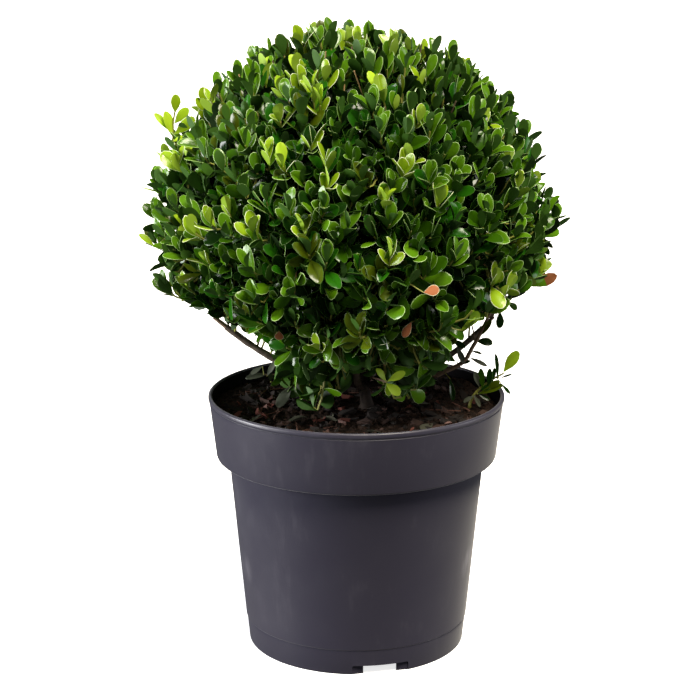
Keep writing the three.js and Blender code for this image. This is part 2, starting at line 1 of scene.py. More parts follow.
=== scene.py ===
"""Clipped ball shrub in a nursery pot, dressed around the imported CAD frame.

The pot, the soil and the limbs are modelled again with smooth surfaces and relief. The foliage grows
on from the boughs by the branching rule of the CAD source, carried to finer twigs and real leaves.
"""

import math

import bmesh
import bpy
import numpy as np
from bpy.props import FloatProperty, FloatVectorProperty, IntProperty, PointerProperty
from bpy.types import Operator, Panel, PropertyGroup
from mathutils import Matrix, Vector, noise


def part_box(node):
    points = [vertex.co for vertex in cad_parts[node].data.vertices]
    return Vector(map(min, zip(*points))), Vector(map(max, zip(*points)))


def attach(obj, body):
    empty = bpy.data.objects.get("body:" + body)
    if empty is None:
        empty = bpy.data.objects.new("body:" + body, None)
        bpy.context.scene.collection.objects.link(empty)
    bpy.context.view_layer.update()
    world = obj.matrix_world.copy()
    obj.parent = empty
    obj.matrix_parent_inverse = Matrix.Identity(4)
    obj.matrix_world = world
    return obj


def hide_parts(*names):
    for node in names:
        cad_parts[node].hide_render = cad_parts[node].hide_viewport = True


bl_info = {
    "name": "Potted Ball Shrub",
    "version": (1, 0, 0),
    "blender": (4, 5, 0),
    "location": "View3D > Sidebar > Shrub",
    "description": "Makes a clipped ball shrub in a nursery pot, piece by piece",
    "category": "Add Mesh",
}

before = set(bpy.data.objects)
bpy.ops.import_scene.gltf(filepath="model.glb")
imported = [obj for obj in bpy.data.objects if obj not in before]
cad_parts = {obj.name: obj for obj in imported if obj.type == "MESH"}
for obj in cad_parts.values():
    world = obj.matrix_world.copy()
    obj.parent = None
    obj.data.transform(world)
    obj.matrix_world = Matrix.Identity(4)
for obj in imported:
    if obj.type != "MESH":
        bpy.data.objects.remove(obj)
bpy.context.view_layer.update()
POT_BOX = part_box("pot")

# Sizes in this file are millimetres, and meshes are metres.
MM = 0.001
GOLDEN_ANGLE = math.pi * (3 - math.sqrt(5))
UP = np.array([0.0, 0.0, 1.0])

# Leaf tints, which are also the slots of their blades, and the slots of a leaf's other faces
DARK, MID, EMERALD, OLIVE, BRIGHT, FRESH, LIME, BROWN, GREY_SHEEN, TURNING = range(10)
MARGIN_DULL, MARGIN_PALE_HIGHLIGHT, MARGIN_FRESH_HIGHLIGHT, UNDER_DARK, UNDER_MATT, UNDER_FRESH, TURNED = range(9, 16)

# Slots of each tint's blade, margin, underside and outer blade
LEAF_SLOTS = np.array([
    (DARK, MARGIN_DULL, UNDER_DARK, DARK),
    (MID, MARGIN_DULL, UNDER_MATT, MID),
    (EMERALD, MARGIN_DULL, UNDER_DARK, EMERALD),
    (OLIVE, MARGIN_DULL, UNDER_MATT, OLIVE),
    (BRIGHT, MARGIN_PALE_HIGHLIGHT, UNDER_MATT, BRIGHT),
    (FRESH, MARGIN_FRESH_HIGHLIGHT, UNDER_FRESH, FRESH),
    (LIME, LIME, UNDER_FRESH, LIME),
    (BROWN, MARGIN_FRESH_HIGHLIGHT, BROWN, BROWN),
    (GREY_SHEEN, GREY_SHEEN, GREY_SHEEN, GREY_SHEEN),
    (BRIGHT, TURNED, UNDER_FRESH, TURNED),
])

# Trunk and boughs, as in the CAD source
TRUNK_FOOT = np.array([8.0, -4.0, 189.3])
TRUNK_FORK = np.array([5.0, -3.0, 206.0])
STUB_LENGTH = 14.0
CLEAR = 0.3
BOUGHS = {
    "left": dict(azimuth=180, turn=0, rise=8, bend=44, spread=99, height=251, base=2.7, tip=2.0, stem=14),
    "right": dict(azimuth=0, turn=2, rise=8, bend=42, spread=96, height=250, base=2.3, tip=1.6, stem=14),
    "front": dict(azimuth=-90, turn=-8, rise=14, bend=34, spread=60, height=250, base=2.6, tip=2.0, stem=28),
    "back": dict(azimuth=90, turn=-2, rise=14, bend=34, spread=60, height=250, base=2.6, tip=2.0, stem=28),
}
LEADER = dict(base=3.2, tip=2.4, height=278.0, stem=40.0)
BARK_THICKNESS = 0.5

# Crown outline, as in the CAD source
UNDER_HEIGHT = 203.0
UNDER_RADIUS = 50.0
UNDER_SLOPE = 1.23
SKIRT_POLAR = math.radians(105)
LOWEST_POLAR = math.radians(160)

# Camera: place in metres, tilt below level in degrees, and width of its sensor
CAMERA_PLACE = (-0.0065, -1.498, 0.617)
CAMERA_TILT = 14.3
CAMERA_SENSOR = 36

# Open space that the photo shows, by width and by height at the pot's axis along its line of sight
SIGHT_SLOPE = math.tan(math.radians(CAMERA_TILT))
UNDERSIDE_X = (-165, -147, -136, -124, -112, -102, -94, -82, -73, -65, -57, 64, 69, 76, 100, 126, 145, 165)
UNDERSIDE_HEIGHT = (284, 278, 272, 266, 261, 257, 252, 244, 238, 233, 190, 190, 234, 245, 260, 276, 283, 292)
UNDERSIDE_RAGGED = 9.0
RAGGED_SPREAD = 9.0
SKY_BOTTOM = 214.0

# Windows in the leaves, as the photo sees them: left, right, bottom, top and the y that they open onto
SIGHT_WINDOWS = (
    (-1, 10, 180, 212, -3),
    (12, 40, 195, 222, -68),
    (44, 59, 271, 281, -141),
    (-61, -51, 239, 250, -106),
    (32, 40, 242, 255, -110),
)

# Tips of the shoots that stand out of the clipped ball in the photo
STRAY_SHOOTS = np.array([
    [-153.0, 0.0, 317.0],
    [-148.0, 0.0, 362.0],
    [-146.0, -6.0, 284.0],
    [-139.0, 4.0, 280.0],
    [-128.0, -4.0, 274.0],
    [-115.0, 2.0, 269.0],
    [150.0, -6.0, 336.0],
    [-143.0, 10.0, 380.0],
    [-137.0, 6.0, 388.0],
    [-129.0, 12.0, 396.0],
    [-151.0, 6.0, 362.0],
    [-153.0, 2.0, 340.0],
    [-95.0, 14.0, 433.0],
])
STRAY_REACH = 20.0
OVERHANG = 9.0

# Leaves that the photo shows singly, by mass: root, tip, width and tint
SINGLE_LEAVES = {
    "ball": (
        ((46, -141, 311), (57, -142, 313.5), 8.5, BROWN),
        ((-137, 8, 416), (-136, 7, 430.5), 8.5, FRESH),
        ((-139, 8, 401), (-152, 6, 416.5), 6.0, LIME),
        ((-139, 7, 398), (-143, 5, 418), 10.0, LIME),
        ((-138, 8, 408), (-127, 8, 420), 8.5, FRESH),
        ((-138, 6, 400), (-122, 4, 413.5), 9.5, FRESH),
        ((-139, 6, 395), (-131, 3, 399), 5.0, LIME),
        ((-114.5, 8, 423), (-116, 7, 436), 9.5, FRESH),
        ((-114, 8, 416), (-121, 6, 428), 7.0, FRESH),
        ((-113, 8, 410), (-119, 6, 419), 5.0, FRESH),
        ((-152, -19, 319), (-163.5, -20, 329), 6.0, FRESH),
    ),
    "right": (
        ((110, -5, 266), (110.5, -6, 252), 7.0, DARK),
        ((116, -5, 273), (123, -6, 267), 6.0, MID),
        ((93, -4, 244), (103.5, -7, 259), 5.5, OLIVE),
        ((92, -4, 242), (105, -6, 241), 8.0, DARK),
        ((87, -4, 229), (101, -6, 222), 4.0, GREY_SHEEN),
        ((88, -3, 234), (97, -4, 231.5), 2.5, DARK),
        ((77, -3, 238), (83, -7, 225), 5.5, GREY_SHEEN),
        ((80, -3, 223), (88, -6, 226.5), 3.5, DARK),
        ((73, -3, 243), (84, -6, 237), 5.0, DARK),
        ((77, -3, 225), (66, -6, 232), 6.5, MID),
        ((131, -5, 285), (153, -7, 294), 10.0, TURNING),
        ((72, -12, 214), (75, -15, 197), 4.5, DARK),
    ),
    "front": (
        ((39, -108, 282), (33, -110, 271), 6.5, BROWN),
        # The grey leaves here are painted sheen
        ((-67, -18, 219.5), (-85, -21, 216.5), 5.5, GREY_SHEEN),
        ((-69, -19, 217.5), (-63, -21, 229), 4.5, GREY_SHEEN),
        ((-72, -19, 225.5), (-81, -21, 220), 4.0, GREY_SHEEN),
        ((-65.5, -19, 213), (-66, -22, 220.5), 4.5, GREY_SHEEN),
        ((-49, -18, 211), (-61, -24, 194.5), 8.5, GREY_SHEEN),
        ((-41, -18, 218), (-45.5, -24, 205.5), 8.0, GREY_SHEEN),
        ((-56, -103, 274), (-56, -106, 268), 7.0, BROWN),
        ((22, -72, 228), (14.8, -74, 238.3), 6.5, LIME),
        ((22.5, -72, 228), (35.6, -74, 235.8), 6.5, LIME),
        ((21.5, -73, 227), (32.2, -77, 219.5), 8.5, LIME),
        ((22, -71, 226.5), (24, -73, 217), 6.0, FRESH),
    ),
}

# Stems that stand free of the leaves in the photo, by mass: x, y, z and radius along each
FREE_STEMS = {
    "ball": (
        (
            (-118, 8, 366, 1.0), (-134, 8, 388, 0.9), (-139, 8, 397, 0.8),
            (-138.7, 8, 409, 0.7), (-137, 8, 418, 0.6),
        ),
        ((-100, 8, 388, 0.9), (-108, 8, 402, 0.8), (-113, 8, 412, 0.7), (-114.3, 8, 424.5, 0.6)),
    ),
    "front": (
        ((-24, -12, 224, 0.9), (-45, -16, 222, 0.8), (-60, -18, 219, 0.7), (-71, -19, 219, 0.6)),
        ((8, -40, 224, 0.9), (17, -60, 226, 0.8), (22, -71.5, 227.5, 0.7)),
    ),
    "right": (
        (
            (38, -2, 216, 1.9), (62, -3, 214, 1.9), (80, -4, 223, 1.8),
            (85.3, -5, 228.5, 1.7), (89, -5, 236.4, 1.6), (93.6, -5, 244.4, 1.5),
            (98, -5, 254, 1.3), (102.5, -5, 264, 1.1), (106, -5, 271, 0.8),
        ),
        ((91, -5, 242, 0.7), (90, -5, 249, 0.6), (88.4, -5, 256, 0.5)),
    ),
}
STALK_RADIUS = 0.45

# Short twigs that rise from the side boughs
BOUGH_SPRIGS = {"left": 18, "right": 6}
SPRIG_SHARE = (0.12, 1.0)
SPRIG_WIDTH = 20.0
SPRIG_LIFT = (9, 27)
SPRIG_STRAY = 3.0

# Sprigs that hang about the trunk's foot
LOW_SPRIGS = 52
LOW_SPRIG_SPREAD = (26, 72)
LOW_SPRIG_HEIGHT = (205, 225)

# Shoots inside the crown, which close it to the eye
INNER_SHOOTS = 170
INNER_DEPTH = (42, 72)

# How far outer shoots end inside the outline, in leaf lengths: least, and what chance adds to a power
SHOOT_INSET = 0.35
SHOOT_INSET_STRAY = 1.0
SHOOT_INSET_POWER = 1.5
SPIRAL_STRAY = 0.03

# Tufts stand out of the ball, with hollows between them
TUFT_DEPTH = 27.0
TUFT_SPREAD = 6.5

# Bare ends of clipped shoots between the leaves of the ball's top
CLIPPED_RISE = 0.55
CLIPPED_SHARE = 0.14
CLIPPED_REACH = (-15, 3)
CLIPPED_LEAST = 5.0
CLIPPED_RADIUS = 0.5
CLIPPED_STRAY = 0.3

# Shares of the sprays that are fresh, emerald and olive
FRESH_SHARE = 0.2
FRESH_TO_TOP = 0.04
FRESH_TO_RIGHT = 0.05
SPRAY_MIX = 7
EMERALD_SHARE = 0.4
OLIVE_SHARE = 0.09
OLIVE_TO_TOP = 0.16
OLIVE_POWER = 3

# Greatest depth in the crown of bright and of mid leaves, the depth that a year counts for, and its stray:
# darker tints deeper in the crown are painted shade, and darker tints with age are the leaves' own colour
BRIGHT_DEPTH = 20.0
MID_DEPTH = 34.0
YEAR_DEPTH = 5.0
DEPTH_STRAY = 26.0

# Greatest age and depth of fresh and of lime leaves, and how far past the outline all are fresh
FRESH_AGE = 1.6
FRESH_DEPTH = 16.0
LIME_AGE = 0.8
LIME_DEPTH = 13.0
LIME_SHARE = 0.25
OUTGROWN = -5.0

# Low leaves are bright or mid, by share: the bright tint there is painted light that lifts the shade under
# the crown
LOW_TINT_TOP = 262.0
LOW_PAINTED_LIGHT_SHARE = 0.7

# Least share of a spray's leaves that must be clear for it to grow
LEAST_SPRAY = 0.62

# Leaves stay above the soil, above the rim where they are out over it, and off the limbs
LEAF_BOTTOM = 192.0
RIM_SPREAD = 100.0
RIM_CLEAR = 204.0
LIMBS_TOP = 290.0
TRUNK_CLEAR = 6.0
BOUGH_CLEAR = 3.4
BARE_BOUGH_CLEAR = 5.0
TRUNK_PROBES = 6
BOUGH_PROBES = 28
BARE_BOUGH_PROBES = 40

# How far a shoot keeps its twig's heading, turns outward and turns up, and how far a leaf turns up
SHOOT_HEADING = 0.25
SHOOT_OUTWARD = 0.35
SHOOT_RISE = 1.2
SHOOT_STRAY = 0.24
LEAF_RISE = 0.45

# Branching rule of the CAD source
FORK_SPREAD = 3.0
FORK_LEAST = 0.2
FORK_MOST = 0.75
LEAFY_COUNT = 8

# Twigs: kinds of bark, most shoots that a tan one carries, rings and sides, and radius by shoots carried
GREEN_TWIG, TAN_TWIG, WOOD_TWIG = range(3)
TAN_COUNT = 6
TWIG_SHARES = np.linspace(0, 1, 4)
TWIG_SIDES = 4
TWIG_RADIUS = 0.78
TWIG_POWER = 0.25
TWIG_TAPER = np.linspace(1.1, 0.9, len(TWIG_SHARES))
TWIG_BEND = 0.5
STEM_TAPER = 0.8

# Leaf pairs: distance apart, most on a twig, and how far the last one is from the tip in such distances
PAIR_SPACING = (5.6, 10.2)
PAIRS_MOST = 5
PAIR_INSET = 0.15
PAIR_SHARE_LEAST = 0.05
PAIR_AHEAD = 0.02
PAIR_SPIN_STRAY = 0.16

# Age in years of a forked twig's leaves, at least and by shoots carried
FORK_AGE = 2
SHOOT_AGE = 0.5

# Lean of a leaf off its twig in degrees: when young, by year, for how many years, and its stray
LEAN_YOUNG = 20
LEAN_BY_YEAR = 13
LEAN_YEARS = 3
LEAN_STRAY = 8
FACE_STRAY = 0.28
FACE_RISE = 0.1

# Size of a leaf as a share of a full-grown one: when young, by year, its bounds, and strays
YOUNG_SIZE = 0.76
SIZE_BY_YEAR = 0.15
SIZE_BOUNDS = (0.7, 1.0)
SIZE_STRAY = (0.82, 1.15)
WIDTH_STRAY = (0.86, 1.1)
LEAF_CUP = (-0.05, 0.2)
LEAF_CURL = (-0.05, 0.07)

# Leaves that are placed one by one: the way that they face, its stray, and their cup and curl
FACING = np.array([0.2, -0.8, 0.6])
FACING_STRAY = 0.2
PLACED_CUP = (0.03, 0.1)
PLACED_CURL = (-0.1, 0.04)

# Seeds of the random draws
CRUMB_SEED = 11
LITTER_SEED = 17
SHOOT_SEED = 23
BALL_SEED = 9
LOW_SEED = 40
LOW_SHOOT_SEED = 5

# Points closer than this, in metres, are one
TOUCHING = 1e-6

# Faces that meet at more than this many degrees meet sharply: on turned and rounded pieces and on copies
SHARP_DEGREES = 30
ROUNDED_SHARP = 60
COPIES_SHARP = 40
CHIPS_SHARP = 25
LEAVES_SHARP = 50

# Half of a quarter turn, by which the crown is shared out
HALF_QUARTER = 45


def linear(hex_colour):
    """Linear colour of an sRGB hex value."""
    parts = [int(hex_colour[i:i + 2], 16) / 255 for i in (1, 3, 5)]
    return tuple(p / 12.92 if p <= 0.04045 else ((p + 0.055) / 1.055) ** 2.4 for p in parts)


def length_property(name, description, millimetres):
    return FloatProperty(
        name=name, description=description, default=millimetres * MM, min=0, unit="LENGTH", subtype="DISTANCE"
    )


def colour_property(name, description, hex_colour):
    return FloatVectorProperty(
        name=name, description=description, default=linear(hex_colour), size=3, min=0, max=1, subtype="COLOR"
    )


class PotSettings(PropertyGroup):
    """Sizes and colours of the pot."""

    height: length_property("Height", "Height of the pot", POT_BOX[1].z / MM)
    rim_radius: length_property("Rim Radius", "Outer radius of the rolled rim", POT_BOX[1].x / MM)
    plastic: colour_property("Plastic", "Colour of the moulded plastic", "#2b2937")
    scuff: colour_property("Scuff", "Colour of worn and dusty places", "#6c6972")


class SoilSettings(PropertyGroup):
    """Sizes and colours of the soil and what lies on it."""

    edge_height: length_property("Edge Height", "Height of the soil at the pot's wall", 186)
    top_height: length_property("Top Height", "Height of the soil at the trunk", 189)
    crumbs: IntProperty(name="Crumbs", description="Number of loose crumbs", default=1500, min=0)
    chips: IntProperty(name="Chips", description="Number of bark chips", default=230, min=0)
    peat: colour_property("Peat", "Colour of the damp peat", "#211a16")
    dry_peat: colour_property("Dry Peat", "Colour of dry fibres in the peat", "#4b382d")


class LimbSettings(PropertyGroup):
    """Sizes and colours of the trunk and boughs."""

    trunk_radius: length_property("Trunk Radius", "Radius of the trunk above its flare", 4.6)
    relief: length_property("Relief", "Depth of the furrows in the bark", 0.35)
    bark: colour_property("Bark", "Colour of the bark's ridges", "#64584c")
    furrow: colour_property("Furrow", "Colour of the bark's furrows", "#3a2f28")
    # The trunk's bark is darker than the boughs': painted shade under the crown
    damp: colour_property("Trunk Shade Bark", "Colour of the trunk's bark, darkened as painted shade", "#241c17")


class FoliageSettings(PropertyGroup):
    """Sizes and colours of the crown."""

    crown_radius: length_property("Crown Radius", "Radius of the clipped ball", 154)
    crown_height: length_property("Crown Height", "Height of the ball's centre", 330)
    shoots: IntProperty(name="Shoots", description="Number of shoots over the crown", default=1060, min=50)
    leaf_length: length_property("Leaf Length", "Length of a full-grown leaf", 21)
    leaf_width: length_property("Leaf Width", "Width of a full-grown leaf", 10.5)
    # Dark leaves are the old ones and, as painted shade, those deep in the crown
    dark: colour_property("Dark Leaf", "Old leaf inside the crown", "#0f2a04")
    mid: colour_property("Mid Leaf", "Full-grown leaf", "#284a02")
    emerald: colour_property("Emerald Leaf", "Full-grown leaf of a shaded shoot", "#1d5106")
    olive: colour_property("Olive Leaf", "Leaf of a weak shoot", "#3c4a05")
    bright: colour_property("Bright Leaf", "Leaf of this year", "#48700a")
    fresh: colour_property("Fresh Leaf", "Leaf near a shoot's tip", "#7d9b12")
    lime: colour_property("Lime Leaf", "Youngest leaf", "#9ab824")
    brown: colour_property("Brown Leaf", "Dead leaf", "#985a34")
    # Grey leaves low down stand for the sheen that the pale floor lays on low leaves: painted sheen
    grey: colour_property("Grey Leaf", "Old leaf low down", "#474c3d")


class StageSettings(PropertyGroup):
    """Floor, light and camera."""

    floor: colour_property("Floor", "Colour of the floor", "#f4f4f4")
    lens: FloatProperty(name="Lens", description="Focal length", default=0.1034, unit="CAMERA", min=0.01)


# Materials

# Where the pot is rubbed pale, on its wall at the right and less so at the left, and how strongly
SCUFFS = (((87, -31, 71), 0.9), ((-86, -32, 68), 0.4))
SCUFF_RADIUS = 15.0

# Patterns of the pot's plastic: dust clouds, streaks drawn out downwards, and a grain coarse enough to show
DUST_CLOUD = 45.0
STREAK_WIDTH = 9.0
STREAK_STRETCH = 0.18
MOULD_GRAIN = 1.2
MOULD_DEPTH = 0.2

# Sockets of a Mix node for colours: its share, its two colours and its result
MIX_SHARE, MIX_FIRST, MIX_SECOND, MIX_RESULT = 0, 6, 7, 2


def add_node(tree, kind, output, inputs=None, **settings):
    """Adds a node with its settings and with values or links on its inputs, and gives one of its outputs."""
    node = tree.nodes.new(kind)
    for name, value in settings.items():
        setattr(node, name, value)
    for name, value in (inputs or {}).items():
        if isinstance(value, bpy.types.NodeSocket):
            tree.links.new(value, node.inputs[name])
        else:
            node.inputs[name].default_value = value
    return node.outputs[output]


def new_material(name, colour, roughness, ior):
    """A material of one colour, made once for all pieces that share it, with its node tree and shader."""
    material = bpy.data.materials.get(name) or bpy.data.materials.new(name)
    material.use_nodes = True
    tree = material.node_tree
    shader = tree.nodes["Principled BSDF"]
    shader.inputs["Base Color"].default_value = (*colour, 1)
    shader.inputs["Roughness"].default_value = roughness
    shader.inputs["IOR"].default_value = ior
    material.diffuse_color = (*colour, 1)
    return material, tree, shader


def moulded_polypropylene(settings):
    """Satin black plastic: an even sheen, a fine moulded grain, dusty cloudy patches and pale scuffs."""
    name = "polypropylene_moulded_satin"
    material, tree, shader = new_material(name, settings.plastic, roughness=0.42, ior=1.49)
    shader.inputs["Sheen Weight"].default_value = 0.25
    shader.inputs["Sheen Roughness"].default_value = 0.4
    place = add_node(tree, "ShaderNodeTexCoord", "Object")
    cloud = add_node(tree, "ShaderNodeTexNoise", "Fac", {
        "Vector": place, "Scale": 1 / (DUST_CLOUD * MM), "Detail": 4.0, "Roughness": 0.6,
    })
    stretch = add_node(tree, "ShaderNodeMapping", "Vector", {
        "Vector": place, "Scale": (1, 1, STREAK_STRETCH),
    })
    streak = add_node(tree, "ShaderNodeTexNoise", "Fac", {
        "Vector": stretch, "Scale": 1 / (STREAK_WIDTH * MM), "Detail": 6.0, "Roughness": 0.7,
    })
    dust = add_node(tree, "ShaderNodeMath", "Value", {0: cloud, 1: streak}, operation="MULTIPLY")
    wear = add_node(tree, "ShaderNodeMapRange", "Result", {
        "Value": dust, "From Min": 0.3, "From Max": 0.5, "To Min": 0.0, "To Max": 0.12,
    })
    speck = add_node(tree, "ShaderNodeMapRange", "Result", {
        "Value": streak, "From Min": 0.42, "From Max": 0.62, "To Min": 0.0, "To Max": 1.6,
    })
    for spot, strength in SCUFFS:
        centre = [side * MM for side in spot]
        apart = add_node(tree, "ShaderNodeVectorMath", "Value", {0: place, 1: centre}, operation="DISTANCE")
        nearness = add_node(tree, "ShaderNodeMapRange", "Result", {
            "Value": apart, "From Min": SCUFF_RADIUS * MM, "From Max": 0.0, "To Min": 0.0, "To Max": strength,
        })
        rubbed = add_node(tree, "ShaderNodeMath", "Value", {0: nearness, 1: speck}, operation="MULTIPLY")
        wear = add_node(tree, "ShaderNodeMath", "Value", {0: wear, 1: rubbed}, operation="MAXIMUM")
    tone = add_node(tree, "ShaderNodeMix", MIX_RESULT, {
        MIX_SHARE: wear, MIX_FIRST: (*settings.plastic, 1), MIX_SECOND: (*settings.scuff, 1),
    }, data_type="RGBA")
    tree.links.new(tone, shader.inputs["Base Color"])
    gloss = add_node(tree, "ShaderNodeMapRange", "Result", {
        "Value": cloud, "From Min": 0.3, "From Max": 0.7, "To Min": 0.36, "To Max": 0.5,
    })
    tree.links.new(gloss, shader.inputs["Roughness"])
    grain = add_node(tree, "ShaderNodeTexNoise", "Fac", {
        "Vector": place, "Scale": 1 / (MOULD_GRAIN * MM), "Detail": 2.0,
    })
    relief = add_node(tree, "ShaderNodeBump", "Normal", {
        "Strength": 0.05, "Distance": MOULD_DEPTH * MM, "Height": grain,
    })
    tree.links.new(relief, shader.inputs["Normal"])
    return material


def mottle(tree, shader, colours, size, detail, roughness, onset, strength, depth):
    """Patches of two colours with relief: size and depth in millimetres, and where the second one sets in."""
    place = add_node(tree, "ShaderNodeTexCoord", "Object")
    patch = add_node(tree, "ShaderNodeTexNoise", "Fac", {
        "Vector": place, "Scale": 1 / (size * MM), "Detail": detail, "Roughness": roughness,
    })
    share = add_node(tree, "ShaderNodeMapRange", "Result", {
        "Value": patch, "From Min": onset[0], "From Max": onset[1],
    })
    tone = add_node(tree, "ShaderNodeMix", MIX_RESULT, {
        MIX_SHARE: share, MIX_FIRST: (*colours[0], 1), MIX_SECOND: (*colours[1], 1),
    }, data_type="RGBA")
    tree.links.new(tone, shader.inputs["Base Color"])
    relief = add_node(tree, "ShaderNodeBump", "Normal", {
        "Strength": strength, "Distance": depth * MM, "Height": patch,
    })
    tree.links.new(relief, shader.inputs["Normal"])


def damp_peat(settings):
    """Dark fibrous compost: near black where damp, rust brown where fibres are dry, no sheen."""
    material, tree, shader = new_material("peat_compost_damp", settings.peat, roughness=0.95, ior=1.2)
    colours = (settings.peat, settings.dry_peat)
    mottle(
        tree, shader, colours, size=4, detail=8.0, roughness=0.75, onset=(0.45, 0.75), strength=0.7, depth=1.2
    )
    return material


def shrub_bark(name, ridge, furrow):
    """Smooth young bark: grey-brown with darker furrows, dull."""
    material, tree, shader = new_material(name, ridge, roughness=0.85, ior=1.45)
    colours = (furrow, ridge)
    mottle(
        tree, shader, colours, size=6, detail=6.0, roughness=0.7, onset=(0.35, 0.6), strength=0.5, depth=0.4
    )
    return material


def plain_material(name, hex_colour, roughness, ior=1.45):
    """Small joined things have one plain colour each, since their variety comes from their number."""
    return new_material(name, linear(hex_colour), roughness, ior)[0]


# Leaf blades by tint: setting, material, roughness and index of refraction
BLADES = (
    ("dark", "leaf_dark_waxy", 0.24, 1.36),
    ("mid", "leaf_mid_waxy", 0.24, 1.38),
    ("emerald", "leaf_emerald_waxy", 0.24, 1.38),
    ("olive", "leaf_olive_waxy", 0.26, 1.38),
    ("bright", "leaf_bright_waxy", 0.24, 1.42),
    ("fresh", "leaf_fresh_waxy", 0.28, 1.46),
    ("lime", "leaf_lime_soft", 0.45, 1.36),
    ("brown", "leaf_brown_dry", 0.6, 1.36),
    # The grey blade is a matt colour that paints the sheen of low leaves
    ("grey", "leaf_grey_painted_sheen", 0.6, 1.36),
)

# Other faces of leaves, and kinds of twig: material, colour and roughness
MARGINS_AND_UNDERSIDES = (
    ("leaf_margin_dull", "#3c5f1a", 0.4),
    # The pale and fresh margins are partly the margin's own pale rim and partly a painted highlight where the
    # leaf's edge catches the light
    ("leaf_margin_pale_painted_highlight", "#9ab873", 0.4),
    ("leaf_margin_fresh_painted_highlight", "#e2e9c4", 0.45),
    ("leaf_underside_dark", "#1c360a", 0.6),
    ("leaf_underside_matt", "#33580f", 0.6),
    ("leaf_underside_fresh", "#8bab2a", 0.6),
    ("leaf_turning_dry", "#6e3c12", 0.6),
)
TWIG_BARKS = (
    ("twig_green_smooth", "#84853c", 0.55),
    ("twig_tan_smooth", "#b08f62", 0.65),
    ("twig_wood_dull", "#6a5644", 0.85),
)


def leaf_materials(settings):
    """Waxy evergreen leaf: glossy blade, paler matt underside and a pale thickened margin, whose pale and
    fresh tints are partly the margin's own colour and partly a painted highlight along the lit edge.
    """
    blades = [new_material(name, getattr(settings, tint), *finish)[0] for tint, name, *finish in BLADES]
    return blades + [plain_material(*face) for face in MARGINS_AND_UNDERSIDES]


def twig_materials():
    """Young twigs are yellow-green, then tan, then grey-brown wood."""
    return [plain_material(*bark) for bark in TWIG_BARKS]


# Meshes


def add_piece(name, mesh, materials):
    for material in materials:
        mesh.materials.append(material)
    piece = bpy.data.objects.new(name, mesh)
    bpy.context.scene.collection.objects.link(piece)
    return piece


def settle(piece, slot, *nodes):
    """Puts a piece on the plant's one body and hides the CAD nodes that it stands for."""
    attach(piece, "root")
    if nodes:
        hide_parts(*nodes)


def mesh_from(bm, name, sharp_degrees=SHARP_DEGREES):
    mesh = bpy.data.meshes.new(name)
    bm.to_mesh(mesh)
    bm.free()
    mesh.shade_smooth()
    mesh.set_sharp_from_angle(angle=math.radians(sharp_degrees))
    return mesh


def joined_copies(name, points, faces, materials, face_slots=None, sharp_degrees=COPIES_SHARP):
    """One mesh of many copies: an array of copies by corners by 3, and the faces of one copy."""
    copies, corners = points.shape[:2]
    one_loop = np.concatenate([np.asarray(face) for face in faces])
    one_size = np.array([len(face) for face in faces])
    loops = one_loop[None, :] + corners * np.arange(copies)[:, None]
    ends = np.cumsum(np.tile(one_size, copies))
    starts = np.concatenate([[0], ends[:-1]])
    mesh = bpy.data.meshes.new(name)
    mesh.vertices.add(copies * corners)
    mesh.vertices.foreach_set("co", (points * MM).astype(np.float32).ravel())
    mesh.loops.add(loops.size)
    mesh.polygons.add(len(starts))
    mesh.polygons.foreach_set("loop_start", starts.astype(np.int32))
    mesh.polygons.foreach_set("vertices", loops.astype(np.int32).ravel())
    if face_slots is not None:
        mesh.polygons.foreach_set("material_index", face_slots.astype(np.int32).ravel())
    mesh.update(calc_edges=True)
    mesh.shade_smooth()
    mesh.set_sharp_from_angle(angle=math.radians(sharp_degrees))
    return add_piece(name, mesh, materials)


def unit(vectors):
    return vectors / np.linalg.norm(vectors, axis=-1, keepdims=True)


def side_of(axes):
    """A direction across each axis."""
    seed = np.where(np.abs(axes[..., 2:3]) < 0.9, UP, np.array([1.0, 0.0, 0.0]))
    return unit(np.cross(axes, seed))


def tube_points(lines, radii, sides):
    """Rings of points round many lines: lines by steps by 3, with a radius at each step."""
    steps = lines.shape[1]
    tangents = unit(np.gradient(lines, axis=1))
    across = side_of(tangents[:, steps // 2])[:, None, :]
    normals = unit(across - tangents * np.sum(across * tangents, axis=-1, keepdims=True))
    binormals = np.cross(tangents, normals)
    turn = 2 * math.pi * np.arange(sides) / sides
    ring = normals[:, :, None] * np.cos(turn)[:, None] + binormals[:, :, None] * np.sin(turn)[:, None]
    points = lines[:, :, None] + ring * radii[:, :, None, None]
    return points.reshape(len(lines), steps * sides, 3)


def tube_faces(steps, sides):
    """Side faces and end caps of one tube."""
    faces = [tuple(range(sides - 1, -1, -1))]
    for step in range(steps - 1):
        for side in range(sides):
            following = (side + 1) % sides
            low, high = step * sides, (step + 1) * sides
            faces.append((low + side, low + following, high + following, high + side))
    faces.append(tuple(range((steps - 1) * sides, steps * sides)))
    return faces


def bezier(start, bend, end, share):
    """Points on quadratic curves at the given shares of their way."""
    share = np.asarray(share)[..., None]
    return start * (1 - share) ** 2 + 2 * bend * share * (1 - share) + end * share ** 2


def apply_modifiers(piece):
    """Replaces a piece's mesh by what its modifiers make of it."""
    graph = bpy.context.evaluated_depsgraph_get()
    made = bpy.data.meshes.new_from_object(piece.evaluated_get(graph))
    old = piece.data
    piece.modifiers.clear()
    piece.data = made
    bpy.data.meshes.remove(old)


